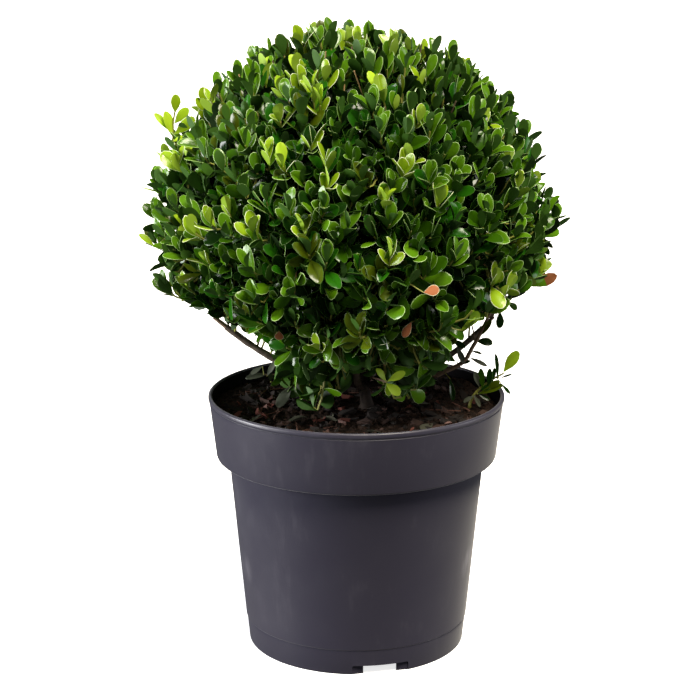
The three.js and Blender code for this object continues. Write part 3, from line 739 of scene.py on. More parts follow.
def turned(section, steps):
    """A section of radius and height turned once round the pot's axis."""
    bm = bmesh.new()
    verts = [bm.verts.new((radius * MM, 0, height * MM)) for radius, height in section]
    edges = [bm.edges.new(pair) for pair in zip(verts, verts[1:])]
    bmesh.ops.spin(
        bm,
        geom=verts + edges,
        cent=(0, 0, 0),
        axis=(0, 0, 1),
        angle=2 * math.pi,
        steps=steps,
        use_merge=True,
    )
    bmesh.ops.remove_doubles(bm, verts=bm.verts, dist=TOUCHING)
    bmesh.ops.recalc_face_normals(bm, faces=bm.faces)
    return bm


# Pot

FOOT_RADIUS = 85.5
FOOT_RING = 4.5
FOOT_STEP_HEIGHT = 21.0
FOOT_STEP_DROP = 0.8
FOOT_STEP_DEPTH = 0.6
FLOOR_BOTTOM = 5.5
FLOOR_TOP = 7.5
BAND_BOTTOM = 151.0
WALL_TOP_RADIUS = 99.6
BAND_RADIUS = 109.0
POT_WALL = 1.8
POT_STEPS = 144

# Rolled rim: its width and height, and the groove under it by how far in and how far down
RIM_WIDTH = 3.0
RIM_HEIGHT = 3.2
RIM_GROOVE = ((0.85, 5.2), (1.25, 4.8), (0.7, 4.2))

# Drain notches, each in a shallow wider recess
NOTCH_COUNT = 3
NOTCH_TURN = math.radians(12.7)
NOTCH_WIDTH = 26.0
NOTCH_HEIGHT = 7.5
NOTCH_DEPTH = 12.0
NOTCH_ROUNDING = 1.5
RECESS_WIDTH = 44.0
RECESS_DEPTH = 1.6
CUTTER_REACH = 95.0

# Slot of the pot's inside, which starts this far below the rim; the inside's near-black colour is painted
# shade from the crown above
INSIDE_SHADE_SLOT = 1
INSIDE_TOP = 2.0


def pot_wall_radius(height):
    return FOOT_RADIUS + (WALL_TOP_RADIUS - FOOT_RADIUS) * height / BAND_BOTTOM


def pot_corners(settings):
    """Corners of the pot's section: radius, height and the bevel that rounds it."""
    rim, top = settings.rim_radius / MM, settings.height / MM
    step = pot_wall_radius(FOOT_STEP_HEIGHT)
    ledge = BAND_BOTTOM + POT_WALL
    return [
        (0, FLOOR_BOTTOM, 0),
        (FOOT_RADIUS - FOOT_RING, FLOOR_BOTTOM, 0.8),
        (FOOT_RADIUS - FOOT_RING, 0, 0.6),
        (FOOT_RADIUS - FOOT_STEP_DEPTH, 0, 1.0),
        (step - FOOT_STEP_DEPTH, FOOT_STEP_HEIGHT - FOOT_STEP_DROP, 0),
        (step, FOOT_STEP_HEIGHT, 0),
        (WALL_TOP_RADIUS, BAND_BOTTOM, 1.5),
        (BAND_RADIUS, BAND_BOTTOM, 1.8),
        *((rim - inward, top - down, 0) for inward, down in RIM_GROOVE),
        (rim, top - RIM_HEIGHT, 0.5),
        (rim, top, 1.3),
        (rim - RIM_WIDTH, top, 1.2),
        (BAND_RADIUS - POT_WALL, ledge, 1.0),
        (WALL_TOP_RADIUS - POT_WALL, ledge, 1.0),
        (pot_wall_radius(FLOOR_TOP) - POT_WALL, FLOOR_TOP, 1.0),
        (0, FLOOR_TOP, 0),
    ]


def ring_edges(bm, radius, height):
    """Edges of the circle of one corner of a turned section."""

    def on_circle(vert):
        level = abs(vert.co.z - height * MM) < TOUCHING
        return level and abs(vert.co.xy.length - radius * MM) < TOUCHING

    return [edge for edge in bm.edges if all(on_circle(vert) for vert in edge.verts)]


def round_edges(bm, edges, rounding, segments):
    bmesh.ops.bevel(
        bm,
        geom=edges,
        offset=rounding * MM,
        segments=segments,
        profile=0.5,
        affect="EDGES",
        material=-1,
    )


def notch_cutter(width, inner, turn):
    """A block with rounded upper corners that cuts into the pot's foot from outside."""
    bm = bmesh.new()
    bmesh.ops.create_cube(bm, size=1)
    size = (width, CUTTER_REACH - inner, 2 * NOTCH_HEIGHT)
    bmesh.ops.scale(bm, vec=[side * MM for side in size], verts=bm.verts)
    bmesh.ops.translate(bm, vec=(0, -(CUTTER_REACH + inner) / 2 * MM, 0), verts=bm.verts)
    upper = [e for e in bm.edges if all(v.co.z > 0 for v in e.verts)]
    corners = [e for e in upper if abs(e.verts[0].co.x - e.verts[1].co.x) < TOUCHING]
    round_edges(bm, corners, NOTCH_ROUNDING, 4)
    bmesh.ops.rotate(bm, cent=(0, 0, 0), matrix=Matrix.Rotation(turn, 3, "Z"), verts=bm.verts)
    bmesh.ops.recalc_face_normals(bm, faces=bm.faces)
    mesh = bpy.data.meshes.new("notch_cutter")
    bm.to_mesh(mesh)
    bm.free()
    return add_piece("notch_cutter", mesh, [])


class SHRUB_OT_make_pot(Operator):
    """Turn the pot's section, round its edges and cut the drain notches"""

    bl_idname = "shrub.make_pot"
    bl_label = "Pot"

    def execute(self, context):
        settings = context.scene.shrub_pot
        corners = pot_corners(settings)
        bm = turned([corner[:2] for corner in corners], POT_STEPS)
        for radius, height, rounding in corners:
            if rounding:
                round_edges(bm, ring_edges(bm, radius, height), rounding, 3)
        # The pot's inside is coloured near black and without sheen: painted shade where the crown shades it
        inside = plain_material("polypropylene_inside_painted_shade", "#0b090c", roughness=0.95, ior=1.2)
        pot = add_piece("pot_shell", mesh_from(bm, "pot_shell"), [moulded_polypropylene(settings), inside])
        cutters = []
        for i in range(NOTCH_COUNT):
            turn = NOTCH_TURN + i * 2 * math.pi / NOTCH_COUNT
            recess = math.sqrt((FOOT_RADIUS - RECESS_DEPTH) ** 2 - (RECESS_WIDTH / 2) ** 2)
            cutters.append(notch_cutter(NOTCH_WIDTH, FOOT_RADIUS - NOTCH_DEPTH, turn))
            cutters.append(notch_cutter(RECESS_WIDTH, recess, turn))
        for cutter in cutters:
            cut = pot.modifiers.new("notch", "BOOLEAN")
            cut.operation = "DIFFERENCE"
            cut.solver = "EXACT"
            cut.object = cutter
        apply_modifiers(pot)
        pot.data.set_sharp_from_angle(angle=math.radians(SHARP_DEGREES))
        # Faces that face the axis below the lip take the inside's painted shade
        lip = settings.height - INSIDE_TOP * MM
        for face in pot.data.polygons:
            if face.center.z < lip and face.center.xy.dot(face.normal.xy) < 0:
                face.material_index = INSIDE_SHADE_SLOT
        for cutter in cutters:
            bpy.data.objects.remove(cutter)
        settle(pot, "pot_plastic", "pot")
        return {"FINISHED"}


# Soil

SOIL_RADIUS = 110.5
SOIL_TOP_RADIUS = 26.0
SOIL_RINGS = 44
SOIL_STEPS = 160

# Section of the soil inside the pot, up to the ledge: radius and height
SOIL_UNDER = ((0, 8), (83.5, 8), (97, 153.2), (106.4, 153.2))

# Lumps and grit on the soil: width and rise of each, and how far both are sunk
LUMP_WIDTH = 16
LUMP_RISE = 1.9
GRIT_WIDTH = 2.6
GRIT_RISE = 0.7
RELIEF_SUNK = 0.6

# Where the soil is banked up: x, y and how far
BANKS = ((-84, 22, 6.0), (72, 62, 6.0))
BANK_SPREAD = 42.0

# Loose crumbs: nearest to the middle and to the edge, size, stretch and roughness of shape
CRUMB_MIDDLE = 8
CRUMB_EDGE = 3
CRUMB_SIZE = (0.7, 1.5)
CRUMB_POWER = 3
CRUMB_STRETCH = (0.6, 1.3)
CRUMB_LUMPS = (0.75, 1.2)

# Bark chips: piece, material, colour and share of the number
CHIP_KINDS = (
    ("chips_red", "pine_bark_red_dry", "#633429", 0.13),
    ("chips_brown", "pine_bark_brown_damp", "#3d2a22", 0.2),
    ("chips_dark", "pine_bark_dark_damp", "#211a16", 0.62),
    ("chips_pink", "pine_bark_inner_pale", "#84645c", 0.05),
)
CHIP_MIDDLE = 14
CHIP_EDGE = 10
CHIP_BLOCK = np.array([13.0, 6.0, 3.6])
CHIP_SIZE = (0.35, 1.2)
CHIP_LUMPS = (0.5, 1.2)
CHIP_TILT = 0.42
CHIP_LIFT = 0.6

# Bits of twig: number, place, half length, bow and radius
STICKS = 16
STICK_MIDDLE = 20
LITTER_EDGE = 14
STICK_LIFT = 1.4
STICK_HALF = (7, 19)
STICK_SLOPE = (-1.0, 1.0)
STICK_BOW = 1.6 * np.array([1, 1, 0.3])
STICK_RADIUS = (0.4, 0.9)
STICK_TAPER = np.linspace(1, 0.7, 5)
STICK_SIDES = 5

# Fallen leaves: number, place, tilt and size
FALLEN_LEAVES = 10
FALLEN_MIDDLE = 24
FALLEN_LIFT = 1.6
FALLEN_FLATNESS = np.array([1, 1, 0.12])
FALLEN_TILT = 0.3
FALLEN_LENGTH = (14, 21)
FALLEN_WIDTH = (6.5, 9.5)
FALLEN_CUP = (0.02, 0.16)
FALLEN_CURL = (-0.1, 0.1)


def soil_height(settings, spread):
    edge, top = settings.edge_height / MM, settings.top_height / MM
    share = np.clip((spread - SOIL_TOP_RADIUS) / (SOIL_RADIUS - SOIL_TOP_RADIUS), 0, 1)
    return top + (edge - top) * share


def soil_relief(x, y):
    """Height of the lumps in the soil at a place."""
    spot = Vector((x, y, 0))
    lumps = LUMP_RISE * noise.fractal(spot / LUMP_WIDTH, 1.0, 2.0, 4)
    grit = GRIT_RISE * noise.noise(spot / GRIT_WIDTH)
    banks = 0
    for left, back, rise in BANKS:
        banks += rise * math.exp(-((x - left) ** 2 + (y - back) ** 2) / BANK_SPREAD ** 2)
    return lumps + grit - RELIEF_SUNK + banks


def soil_places(settings, rng, count, middle, edge, lift=0.0):
    """Places spread evenly over the soil, clear of its middle and its edge, and lifted off it."""
    spread = np.sqrt(rng.uniform(middle ** 2, (SOIL_RADIUS - edge) ** 2, count))
    azimuth = rng.uniform(0, 2 * math.pi, count)
    x, y = spread * np.cos(azimuth), spread * np.sin(azimuth)
    z = [soil_height(settings, math.hypot(a, b)) + soil_relief(a, b) for a, b in zip(x, y)]
    return np.stack([x, y, np.array(z) + lift], axis=-1)


def random_turns(rng, count):
    """Random rotation matrices."""
    quaternions = unit(rng.normal(size=(count, 4)))
    w, x, y, z = quaternions.T
    rows = [
        [1 - 2 * (y * y + z * z), 2 * (x * y - z * w), 2 * (x * z + y * w)],
        [2 * (x * y + z * w), 1 - 2 * (x * x + z * z), 2 * (y * z - x * w)],
        [2 * (x * z - y * w), 2 * (y * z + x * w), 1 - 2 * (x * x + y * y)],
    ]
    return np.moveaxis(np.array(rows), -1, 0)


def shape_of(bm):
    """Points and faces of a small shape that is copied many times."""
    bm.verts.index_update()
    points = np.array([v.co for v in bm.verts])
    faces = [tuple(v.index for v in f.verts) for f in bm.faces]
    bm.free()
    return points, faces


def turned_copies(turns, shapes, places):
    """Shapes turned by a matrix each and set down at a place each."""
    return np.einsum("nij,nvj->nvi", turns, shapes) + places[:, None, :]


class SHRUB_OT_make_soil(Operator):
    """Turn the soil's section and raise lumps and crumbs on its top"""

    bl_idname = "shrub.make_soil"
    bl_label = "Soil"

    def execute(self, context):
        settings = context.scene.shrub_soil
        peat = damp_peat(settings)
        spreads = [SOIL_RADIUS * (1 - i / SOIL_RINGS) for i in range(SOIL_RINGS + 1)]
        top = [(spread, float(soil_height(settings, spread))) for spread in spreads]
        bm = turned([*SOIL_UNDER, *top], SOIL_STEPS)
        for vert in bm.verts:
            if vert.co.z > settings.edge_height - MM:
                vert.co.z += soil_relief(vert.co.x / MM, vert.co.y / MM) * MM
        soil = add_piece("soil_bed", mesh_from(bm, "soil_bed", ROUNDED_SHARP), [peat])
        settle(soil, "potting_soil", "soil")

        rng = np.random.default_rng(CRUMB_SEED)
        count = settings.crumbs
        ball = bmesh.new()
        bmesh.ops.create_icosphere(ball, subdivisions=1, radius=1)
        points, faces = shape_of(ball)
        places = soil_places(settings, rng, count, CRUMB_MIDDLE, CRUMB_EDGE)
        size = rng.uniform(*CRUMB_SIZE, count) ** CRUMB_POWER
        stretch = rng.uniform(*CRUMB_STRETCH, (count, 1, 3)) * size[:, None, None]
        lumps = rng.uniform(*CRUMB_LUMPS, (count, len(points), 1))
        placed = turned_copies(random_turns(rng, count), points * stretch * lumps, places)
        crumbs = joined_copies("soil_crumbs", placed, faces, [peat])
        settle(crumbs, "potting_soil")
        return {"FINISHED"}


def lay_chips(settings, rng):
    """Shards of bark of several colours, half sunk at all angles."""
    block = bmesh.new()
    bmesh.ops.create_cube(block, size=1)
    bmesh.ops.subdivide_edges(block, edges=block.edges, cuts=1, use_grid_fill=True)
    points, faces = shape_of(block)
    for name, material, colour, share in CHIP_KINDS:
        count = round(settings.chips * share)
        places = soil_places(settings, rng, count, CHIP_MIDDLE, CHIP_EDGE, CHIP_LIFT)
        shards = points * CHIP_BLOCK * rng.uniform(*CHIP_SIZE, (count, 1, 1))
        shards = shards * rng.uniform(*CHIP_LUMPS, (count, len(points), 1))
        spin = rng.uniform(0, 2 * math.pi, count)
        tilt = rng.normal(0, CHIP_TILT, (count, 2))
        turns = np.array([
            Matrix.Rotation(s, 3, "Z") @ Matrix.Rotation(a, 3, "X") @ Matrix.Rotation(b, 3, "Y")
            for s, (a, b) in zip(spin, tilt)
        ])
        bark = plain_material(material, colour, roughness=0.85)
        placed = turned_copies(turns, shards, places)
        chips = joined_copies(name, placed, faces, [bark], sharp_degrees=CHIPS_SHARP)
        settle(chips, "potting_soil")


def lay_sticks(settings, rng):
    """Bits of dead twig, slightly bowed."""
    middle = soil_places(settings, rng, STICKS, STICK_MIDDLE, LITTER_EDGE, STICK_LIFT)
    heading = rng.uniform(0, 2 * math.pi, STICKS)
    half = rng.uniform(*STICK_HALF, STICKS)[:, None] * np.stack([np.cos(heading), np.sin(heading)], axis=-1)
    reach = np.concatenate([half, rng.uniform(*STICK_SLOPE, (STICKS, 1))], axis=-1)
    bow = middle + rng.normal(0, 1, (STICKS, 3)) * STICK_BOW
    rings = len(STICK_TAPER)
    lines = [bezier(middle - reach, bow, middle + reach, share) for share in np.linspace(0, 1, rings)]
    radii = rng.uniform(*STICK_RADIUS, (STICKS, 1)) * STICK_TAPER
    points = tube_points(np.stack(lines, axis=1), radii, STICK_SIDES)
    wood = plain_material("dead_twig_dry", "#6b4a3d", roughness=0.85)
    sticks = joined_copies("litter_sticks", points, tube_faces(rings, STICK_SIDES), [wood])
    settle(sticks, "potting_soil")


def lay_fallen_leaves(settings, rng):
    """Old leaves that lie on the soil."""
    count = FALLEN_LEAVES
    places = soil_places(settings, rng, count, FALLEN_MIDDLE, LITTER_EDGE, FALLEN_LIFT)
    axes = unit(rng.normal(0, 1, (count, 3)) * FALLEN_FLATNESS)
    ups = unit(UP + rng.normal(0, FALLEN_TILT, (count, 3)))
    sizes = [rng.uniform(*bounds, count) for bounds in (FALLEN_LENGTH, FALLEN_WIDTH, FALLEN_CUP, FALLEN_CURL)]
    grey = plain_material("leaf_fallen_grey", "#4f4f40", roughness=0.75)
    fallen = joined_copies("litter_leaves", leaf_points(places, axes, ups, *sizes), LEAF_FACES, [grey])
    settle(fallen, "potting_soil")


class SHRUB_OT_make_litter(Operator):
    """Lay bark chips, fallen leaves and bits of twig on the soil"""

    bl_idname = "shrub.make_litter"
    bl_label = "Bark Chips and Litter"

    def execute(self, context):
        rng = np.random.default_rng(LITTER_SEED)
        for lay in (lay_chips, lay_sticks, lay_fallen_leaves):
            lay(context.scene.shrub_soil, rng)
        return {"FINISHED"}


# Limbs

# Rings and sides of each limb's mesh
TRUNK_RINGS, TRUNK_SIDES = 26, 20
STUB_RINGS, STUB_SIDES = 14, 14
LEADER_STUB_RINGS, LEADER_STUB_SIDES = 16, 16
BOUGH_RINGS, BOUGH_SIDES = 64, 16

# Foot of the trunk sunk in the soil, its taper, the swell of its flare and how soon that ends
TRUNK_SUNK = 2.0
TRUNK_TAPER = 0.12
FLARE_SWELL = 0.75
FLARE_END = 5.0

# Stubs at the fork: how far they run into their boughs, and how much wider they start
STUB_OVERLAP = 1.0
STUB_SWELL = 0.5
LEADER_STUB_START = -3.0
LEADER_STUB_RADIUS = 4.1
FORK_VOXEL = 0.55
BOUGH_OVERLAP = 2.0

# Bark pattern: furrows round the limb and along it by ring, swellings along it and their share of the radius
FURROW_ROUND = 2.2
FURROW_ALONG = 0.21
SWELLING_ALONG = 0.13
SWELLING_SHARE = 0.12
TRUNK_PATTERN = 1.5
LEADER_STUB_PATTERN = 7.5
BOUGH_PATTERN = 0.4
BOUGH_PATTERN_STEP = 3.7


def limb_sizes(name):
    return LEADER if name == "leader" else BOUGHS[name]


def limb_bend(start, end):
    """Bend of a limb that rises straight up before it leans over."""
    return np.array([start[0], start[1], (start[2] + end[2]) / 2])


def polar_point(azimuth, spread, height):
    return np.array([spread * math.cos(azimuth), spread * math.sin(azimuth), height])


def bough_start(bough):
    """Direction in which a bough leaves the fork."""
    rise = math.radians(bough["rise"])
    return polar_point(math.radians(bough["azimuth"] + bough["turn"]), math.cos(rise), math.sin(rise))


def bough_curve(name):
    """Start, bend and tip of a bough's curve."""
    if name == "leader":
        start = TRUNK_FORK + UP * (STUB_LENGTH + CLEAR)
        tip = np.array([0, 0, LEADER["height"]])
        return start, limb_bend(start, tip), tip
    bough = BOUGHS[name]
    first = bough_start(bough)
    start = TRUNK_FORK + first * (STUB_LENGTH + CLEAR)
    tip = polar_point(math.radians(bough["azimuth"]), bough["spread"], bough["height"])
    return start, start + first * bough["bend"], tip


def stem_line(name):
    """Stem of a mass: straight on from its bough's tip to where the mass first forks."""
    _, bend, tip = bough_curve(name)
    return tip, tip + unit(tip - bend) * limb_sizes(name)["stem"]


def limb_bmesh(bm, line, radii, sides, relief, seed):
    """A ring drawn out along a line, with furrows and swellings in its radius."""
    ring = bmesh.ops.create_circle(bm, cap_ends=True, segments=sides, radius=1)["verts"]
    tangents = unit(np.gradient(line, axis=0))
    across = side_of(tangents[len(line) // 2])
    for step, (spot, tangent, radius) in enumerate(zip(line, tangents, radii)):
        if step:
            edges = list(dict.fromkeys(e for v in ring for e in v.link_edges if e.other_vert(v) in ring))
            drawn = bmesh.ops.extrude_edge_only(bm, edges=edges)["geom"]
            fresh = [v for v in drawn if isinstance(v, bmesh.types.BMVert)]
            ring = sorted(fresh, key=lambda v: ring_order[v.co.to_tuple(6)])
        normal = unit(across - tangent * np.dot(across, tangent))
        binormal = np.cross(tangent, normal)
        ring_order = {}
        for i, vert in enumerate(ring):
            turn = 2 * math.pi * i / sides
            cosine, sine = math.cos(turn), math.sin(turn)
            grain = Vector((cosine * FURROW_ROUND, sine * FURROW_ROUND, step * FURROW_ALONG + seed))
            swelling = noise.noise(Vector((seed, step * SWELLING_ALONG, 0)))
            reach = radius * (1 + SWELLING_SHARE * swelling) + relief * noise.noise(grain)
            vert.co = (spot + (normal * cosine + binormal * sine) * reach) * MM
            ring_order[vert.co.to_tuple(6)] = i
    bmesh.ops.contextual_create(bm, geom=ring)


def trunk_radius(settings, along):
    flare = FLARE_SWELL * np.exp(-FLARE_END * along)
    return settings.trunk_radius / MM * (1 - TRUNK_TAPER * along + flare)


def trunk_bmesh(settings):
    """The trunk and its stubs, still as limbs that cross each other."""
    relief = settings.relief / MM
    bm = bmesh.new()
    share = np.linspace(0, 1, TRUNK_RINGS)
    sunk = TRUNK_FOOT - UP * TRUNK_SUNK
    line = bezier(sunk, limb_bend(TRUNK_FOOT, TRUNK_FORK), TRUNK_FORK, share)
    limb_bmesh(bm, line, trunk_radius(settings, share), TRUNK_SIDES, relief, TRUNK_PATTERN)
    for name, bough in BOUGHS.items():
        end = TRUNK_FORK + bough_start(bough) * (STUB_LENGTH + STUB_OVERLAP)
        line = TRUNK_FORK + (end - TRUNK_FORK) * np.linspace(0, 1, STUB_RINGS)[:, None]
        radii = np.linspace(bough["base"] + STUB_SWELL, bough["base"], STUB_RINGS)
        limb_bmesh(bm, line, radii, STUB_SIDES, relief, len(name))
    rises = np.linspace(LEADER_STUB_START, STUB_LENGTH + STUB_OVERLAP, LEADER_STUB_RINGS)
    radii = np.linspace(LEADER_STUB_RADIUS, LEADER["base"], LEADER_STUB_RINGS)
    line = TRUNK_FORK + UP * rises[:, None]
    limb_bmesh(bm, line, radii, LEADER_STUB_SIDES, relief, LEADER_STUB_PATTERN)
    bmesh.ops.recalc_face_normals(bm, faces=bm.faces)
    return bm


class SHRUB_OT_make_limbs(Operator):
    """Draw the trunk, its fork and the boughs with furrowed bark"""

    bl_idname = "shrub.make_limbs"
    bl_label = "Trunk and Boughs"

    def execute(self, context):
        settings = context.scene.shrub_limbs
        bark = shrub_bark("bark_young_furrowed", settings.bark, settings.furrow)
        # The trunk takes darker bark than the boughs: painted shade where it stands under the crown
        trunk_shade_bark = shrub_bark("bark_trunk_painted_shade", settings.furrow, settings.damp)
        crossed = mesh_from(trunk_bmesh(settings), "trunk_bark", ROUNDED_SHARP)
        trunk = add_piece("trunk_bark", crossed, [trunk_shade_bark])
        merge = trunk.modifiers.new("grown_together", "REMESH")
        merge.mode = "VOXEL"
        merge.voxel_size = FORK_VOXEL * MM
        merge.use_smooth_shade = True
        apply_modifiers(trunk)
        trunk.data.shade_smooth()
        settle(trunk, "bark", "trunk")

        share = np.linspace(0, 1, BOUGH_RINGS)
        for i, name in enumerate([*BOUGHS, "leader"]):
            sizes = limb_sizes(name)
            start, bend, tip = bough_curve(name)
            end = tip + unit(tip - bend) * BOUGH_OVERLAP
            line = np.concatenate([bezier(start, bend, tip, share), end[None]])
            radii = np.append(sizes["base"] + (sizes["tip"] - sizes["base"]) * share, sizes["tip"])
            pattern = BOUGH_PATTERN_STEP * i + BOUGH_PATTERN
            bm = bmesh.new()
            limb_bmesh(bm, line, radii + BARK_THICKNESS, BOUGH_SIDES, settings.relief / MM, pattern)
            bmesh.ops.recalc_face_normals(bm, faces=bm.faces)
            mesh = mesh_from(bm, f"bough_{name}_bark", ROUNDED_SHARP)
            settle(add_piece(mesh.name, mesh, [bark]), "bark", f"bough_{name}")
        return {"FINISHED"}


# Foliage

# One leaf: stations along its length with half widths, as shares of length and width
LEAF_STATIONS = (0.15, 0.36, 0.58, 0.79, 0.945)
LEAF_HALVES = (0.15, 0.36, 0.48, 0.43, 0.24)
LEAF_MARGIN = 0.026
LEAF_TIP_MARGIN = 0.6 * LEAF_MARGIN
LEAF_THICKNESS = 0.018
LEAF_GROOVE = -0.006
LEAF_EDGE = -0.012
LEAF_FOLD = 1.7

# Kinds of a leaf's faces, in the order of its slots, and where the outer blade starts
BLADE_FACE, MARGIN_FACE, UNDER_FACE, OUTER_FACE = range(4)
LEAF_OUTER = 0.62


def leaf_plan():
    """Corners of one leaf as length share, width share, height, and its faces with their kinds."""
    corners = {
        "root": (0.0, 0.0, 0.0),
        "tip": (1 - LEAF_TIP_MARGIN, 0.0, 0.0),
        "edge_tip": (1.0, 0.0, LEAF_EDGE),
    }
    for i, (along, half) in enumerate(zip(LEAF_STATIONS, LEAF_HALVES)):
        corners[f"left{i}"] = (along, LEAF_MARGIN - half, 0.0)
        corners[f"mid{i}"] = (along, 0.0, LEAF_GROOVE)
        corners[f"right{i}"] = (along, half - LEAF_MARGIN, 0.0)
        corners[f"edge_left{i}"] = (along, -half, LEAF_EDGE)
        corners[f"edge_right{i}"] = (along, half, LEAF_EDGE)
        corners[f"under{i}"] = (along, 0.0, LEAF_GROOVE - LEAF_THICKNESS)
    last = len(LEAF_STATIONS) - 1
    blade = [("root", "right0", "mid0"), ("root", "mid0", "left0")]
    blade += [(f"mid{last}", f"right{last}", "tip"), (f"left{last}", f"mid{last}", "tip")]
    margin = [("root", "edge_right0", "right0"), ("root", "left0", "edge_left0")]
    margin += [(f"right{last}", f"edge_right{last}", "edge_tip", "tip")]
    margin += [(f"edge_left{last}", f"left{last}", "tip", "edge_tip")]
    under = [("root", "under0", "edge_right0"), ("root", "edge_left0", "under0")]
    under += [(f"under{last}", "edge_tip", f"edge_right{last}")]
    under += [(f"edge_left{last}", "edge_tip", f"under{last}")]
    for i in range(last):
        n = i + 1
        blade += [(f"mid{i}", f"right{i}", f"right{n}", f"mid{n}")]
        blade += [(f"left{i}", f"mid{i}", f"mid{n}", f"left{n}")]
        margin += [(f"right{i}", f"edge_right{i}", f"edge_right{n}", f"right{n}")]
        margin += [(f"edge_left{i}", f"left{i}", f"left{n}", f"edge_left{n}")]
        under += [(f"under{i}", f"under{n}", f"edge_right{n}", f"edge_right{i}")]
        under += [(f"edge_left{i}", f"edge_left{n}", f"under{n}", f"under{i}")]
    names = list(corners)
    faces = [tuple(names.index(corner) for corner in face) for face in blade + margin + under]
    kinds = np.repeat([BLADE_FACE, MARGIN_FACE, UNDER_FACE], [len(blade), len(margin), len(under)])
    points = np.array(list(corners.values()))
    outer = [points[list(face), 0].mean() > LEAF_OUTER for face in faces]
    kinds[outer & (kinds == BLADE_FACE)] = OUTER_FACE
    return points, faces, kinds


LEAF_PLAN, LEAF_FACES, LEAF_KINDS = leaf_plan()
LEAF_SPINE = np.flatnonzero(LEAF_PLAN[:, 1] == 0)
LEAF_TIP = LEAF_PLAN[:, 0].argmax()


def leaf_points(roots, alongs, ups, lengths, widths, cups, curls):
    """Corners of many leaves, each folded at its midrib and curled along by its own amount."""
    alongs = unit(alongs)
    sideways = unit(np.cross(alongs, ups))
    ups = np.cross(sideways, alongs)
    x, z, y = LEAF_PLAN.T
    lift = y + cups[:, None] * np.abs(2 * z) ** LEAF_FOLD + curls[:, None] * x ** 2
    points = alongs[:, None, :] * (x * lengths[:, None])[..., None]
    points += sideways[:, None, :] * (z * widths[:, None])[..., None]
    points += ups[:, None, :] * (lift * lengths[:, None])[..., None]
    return points + roots[:, None, :]


class Crown:
    """Outline of the crown and the rule by which its foliage grows."""

    def __init__(self, settings):
        self.radius = settings.crown_radius / MM
        self.centre = np.array([0, 0, settings.crown_height / MM])
        self.leaf_length = settings.leaf_length / MM
        self.leaf_width = settings.leaf_width / MM
        self.limbs = self.limb_spots()

    def reach(self, directions):
        """Distance from the crown's centre to its outline."""
        spread = np.hypot(directions[:, 0], directions[:, 1])
        inwards = spread - directions[:, 2] * UNDER_SLOPE
        under = UNDER_RADIUS + (self.centre[2] - UNDER_HEIGHT) * UNDER_SLOPE
        return np.where(inwards > 0, np.minimum(self.radius, under / np.maximum(inwards, 1e-9)), self.radius)

    def depth(self, points):
        """How far points lie inside the outline."""
        offsets = points - self.centre
        distance = np.linalg.norm(offsets, axis=1)
        return self.reach(offsets / distance[:, None]) - distance

    def limb_spots(self):
        """Places along the trunk and boughs, with the radius that foliage keeps clear of."""
        trunk = bezier(TRUNK_FOOT, TRUNK_FOOT, TRUNK_FORK, np.linspace(0, 1, TRUNK_PROBES))
        spots = [np.append(spot, TRUNK_CLEAR) for spot in trunk]
        for name in [*BOUGHS, "leader"]:
            _, bend, tip = bough_curve(name)
            line = bezier(TRUNK_FORK, bend, tip, np.linspace(0, 1, BOUGH_PROBES))
            spots += [np.append(spot, BOUGH_CLEAR) for spot in line]
        return np.array(spots)

    def spiral(self, count, rng):
        """Directions of a golden-angle spiral over the crown."""
        index = np.arange(count)
        height = 1 - (1 - math.cos(LOWEST_POLAR)) * (index + 0.5) / count
        azimuth = index * GOLDEN_ANGLE + rng.normal(0, SPIRAL_STRAY, count)
        spread = np.sqrt(1 - height ** 2)
        return np.stack([spread * np.cos(azimuth), spread * np.sin(azimuth), height], axis=-1)

    def goals(self, count, rng):
        """Where shoots end: about a leaf's length inside the outline, deeper inside, and low down."""
        outer = self.spiral(count, rng)
        stray = SHOOT_INSET_STRAY * rng.uniform(0, 1, count) ** SHOOT_INSET_POWER
        inside = self.leaf_length * (SHOOT_INSET + stray)
        inside += TUFT_DEPTH * np.array([max(0, noise.noise(Vector(d * TUFT_SPREAD))) for d in outer])
        inner = self.spiral(INNER_SHOOTS, rng)
        deep = rng.uniform(*INNER_DEPTH, INNER_SHOOTS)
        directions = np.concatenate([outer, inner])
        reach = self.reach(directions) - np.concatenate([inside, deep])
        turn = np.arange(LOW_SPRIGS) * GOLDEN_ANGLE
        spread = rng.uniform(*LOW_SPRIG_SPREAD, LOW_SPRIGS)
        height = rng.uniform(*LOW_SPRIG_HEIGHT, LOW_SPRIGS)
        low = np.stack([spread * np.cos(turn), spread * np.sin(turn), height], axis=-1)
        goals = np.concatenate([self.centre + directions * reach[:, None], low])
        return np.concatenate([goals[over_sky(goals) & ~before_window(goals)], STRAY_SHOOTS])


def sight_height(points):
    """Height at the pot's axis along the line of sight of the photo."""
    return points[..., 2] + SIGHT_SLOPE * points[..., 1]


def over_sky(points):
    """Which points lie above the crown's underside as the photo shows it, or low before the pot's inside."""
    sight = sight_height(points)
    return (sight > np.interp(points[..., 0], UNDERSIDE_X, UNDERSIDE_HEIGHT)) | (sight < SKY_BOTTOM)


def before_window(points):
    """Which points stand in the way of something that the photo shows through the leaves."""
    sight = sight_height(points)
    blocked = np.zeros(sight.shape, dtype=bool)
    for left, right, bottom, top, behind in SIGHT_WINDOWS:
        across = (points[..., 0] > left) & (points[..., 0] < right)
        blocked |= across & (sight > bottom) & (sight < top) & (points[..., 1] < behind)
    return blocked


def quarter_of(offsets, azimuth):
    """Which offsets lie in the quarter turn about an azimuth in degrees."""
    own = np.degrees(np.arctan2(offsets[:, 1], offsets[:, 0]))
    return np.abs((own - azimuth + 180) % 360 - 180) <= HALF_QUARTER


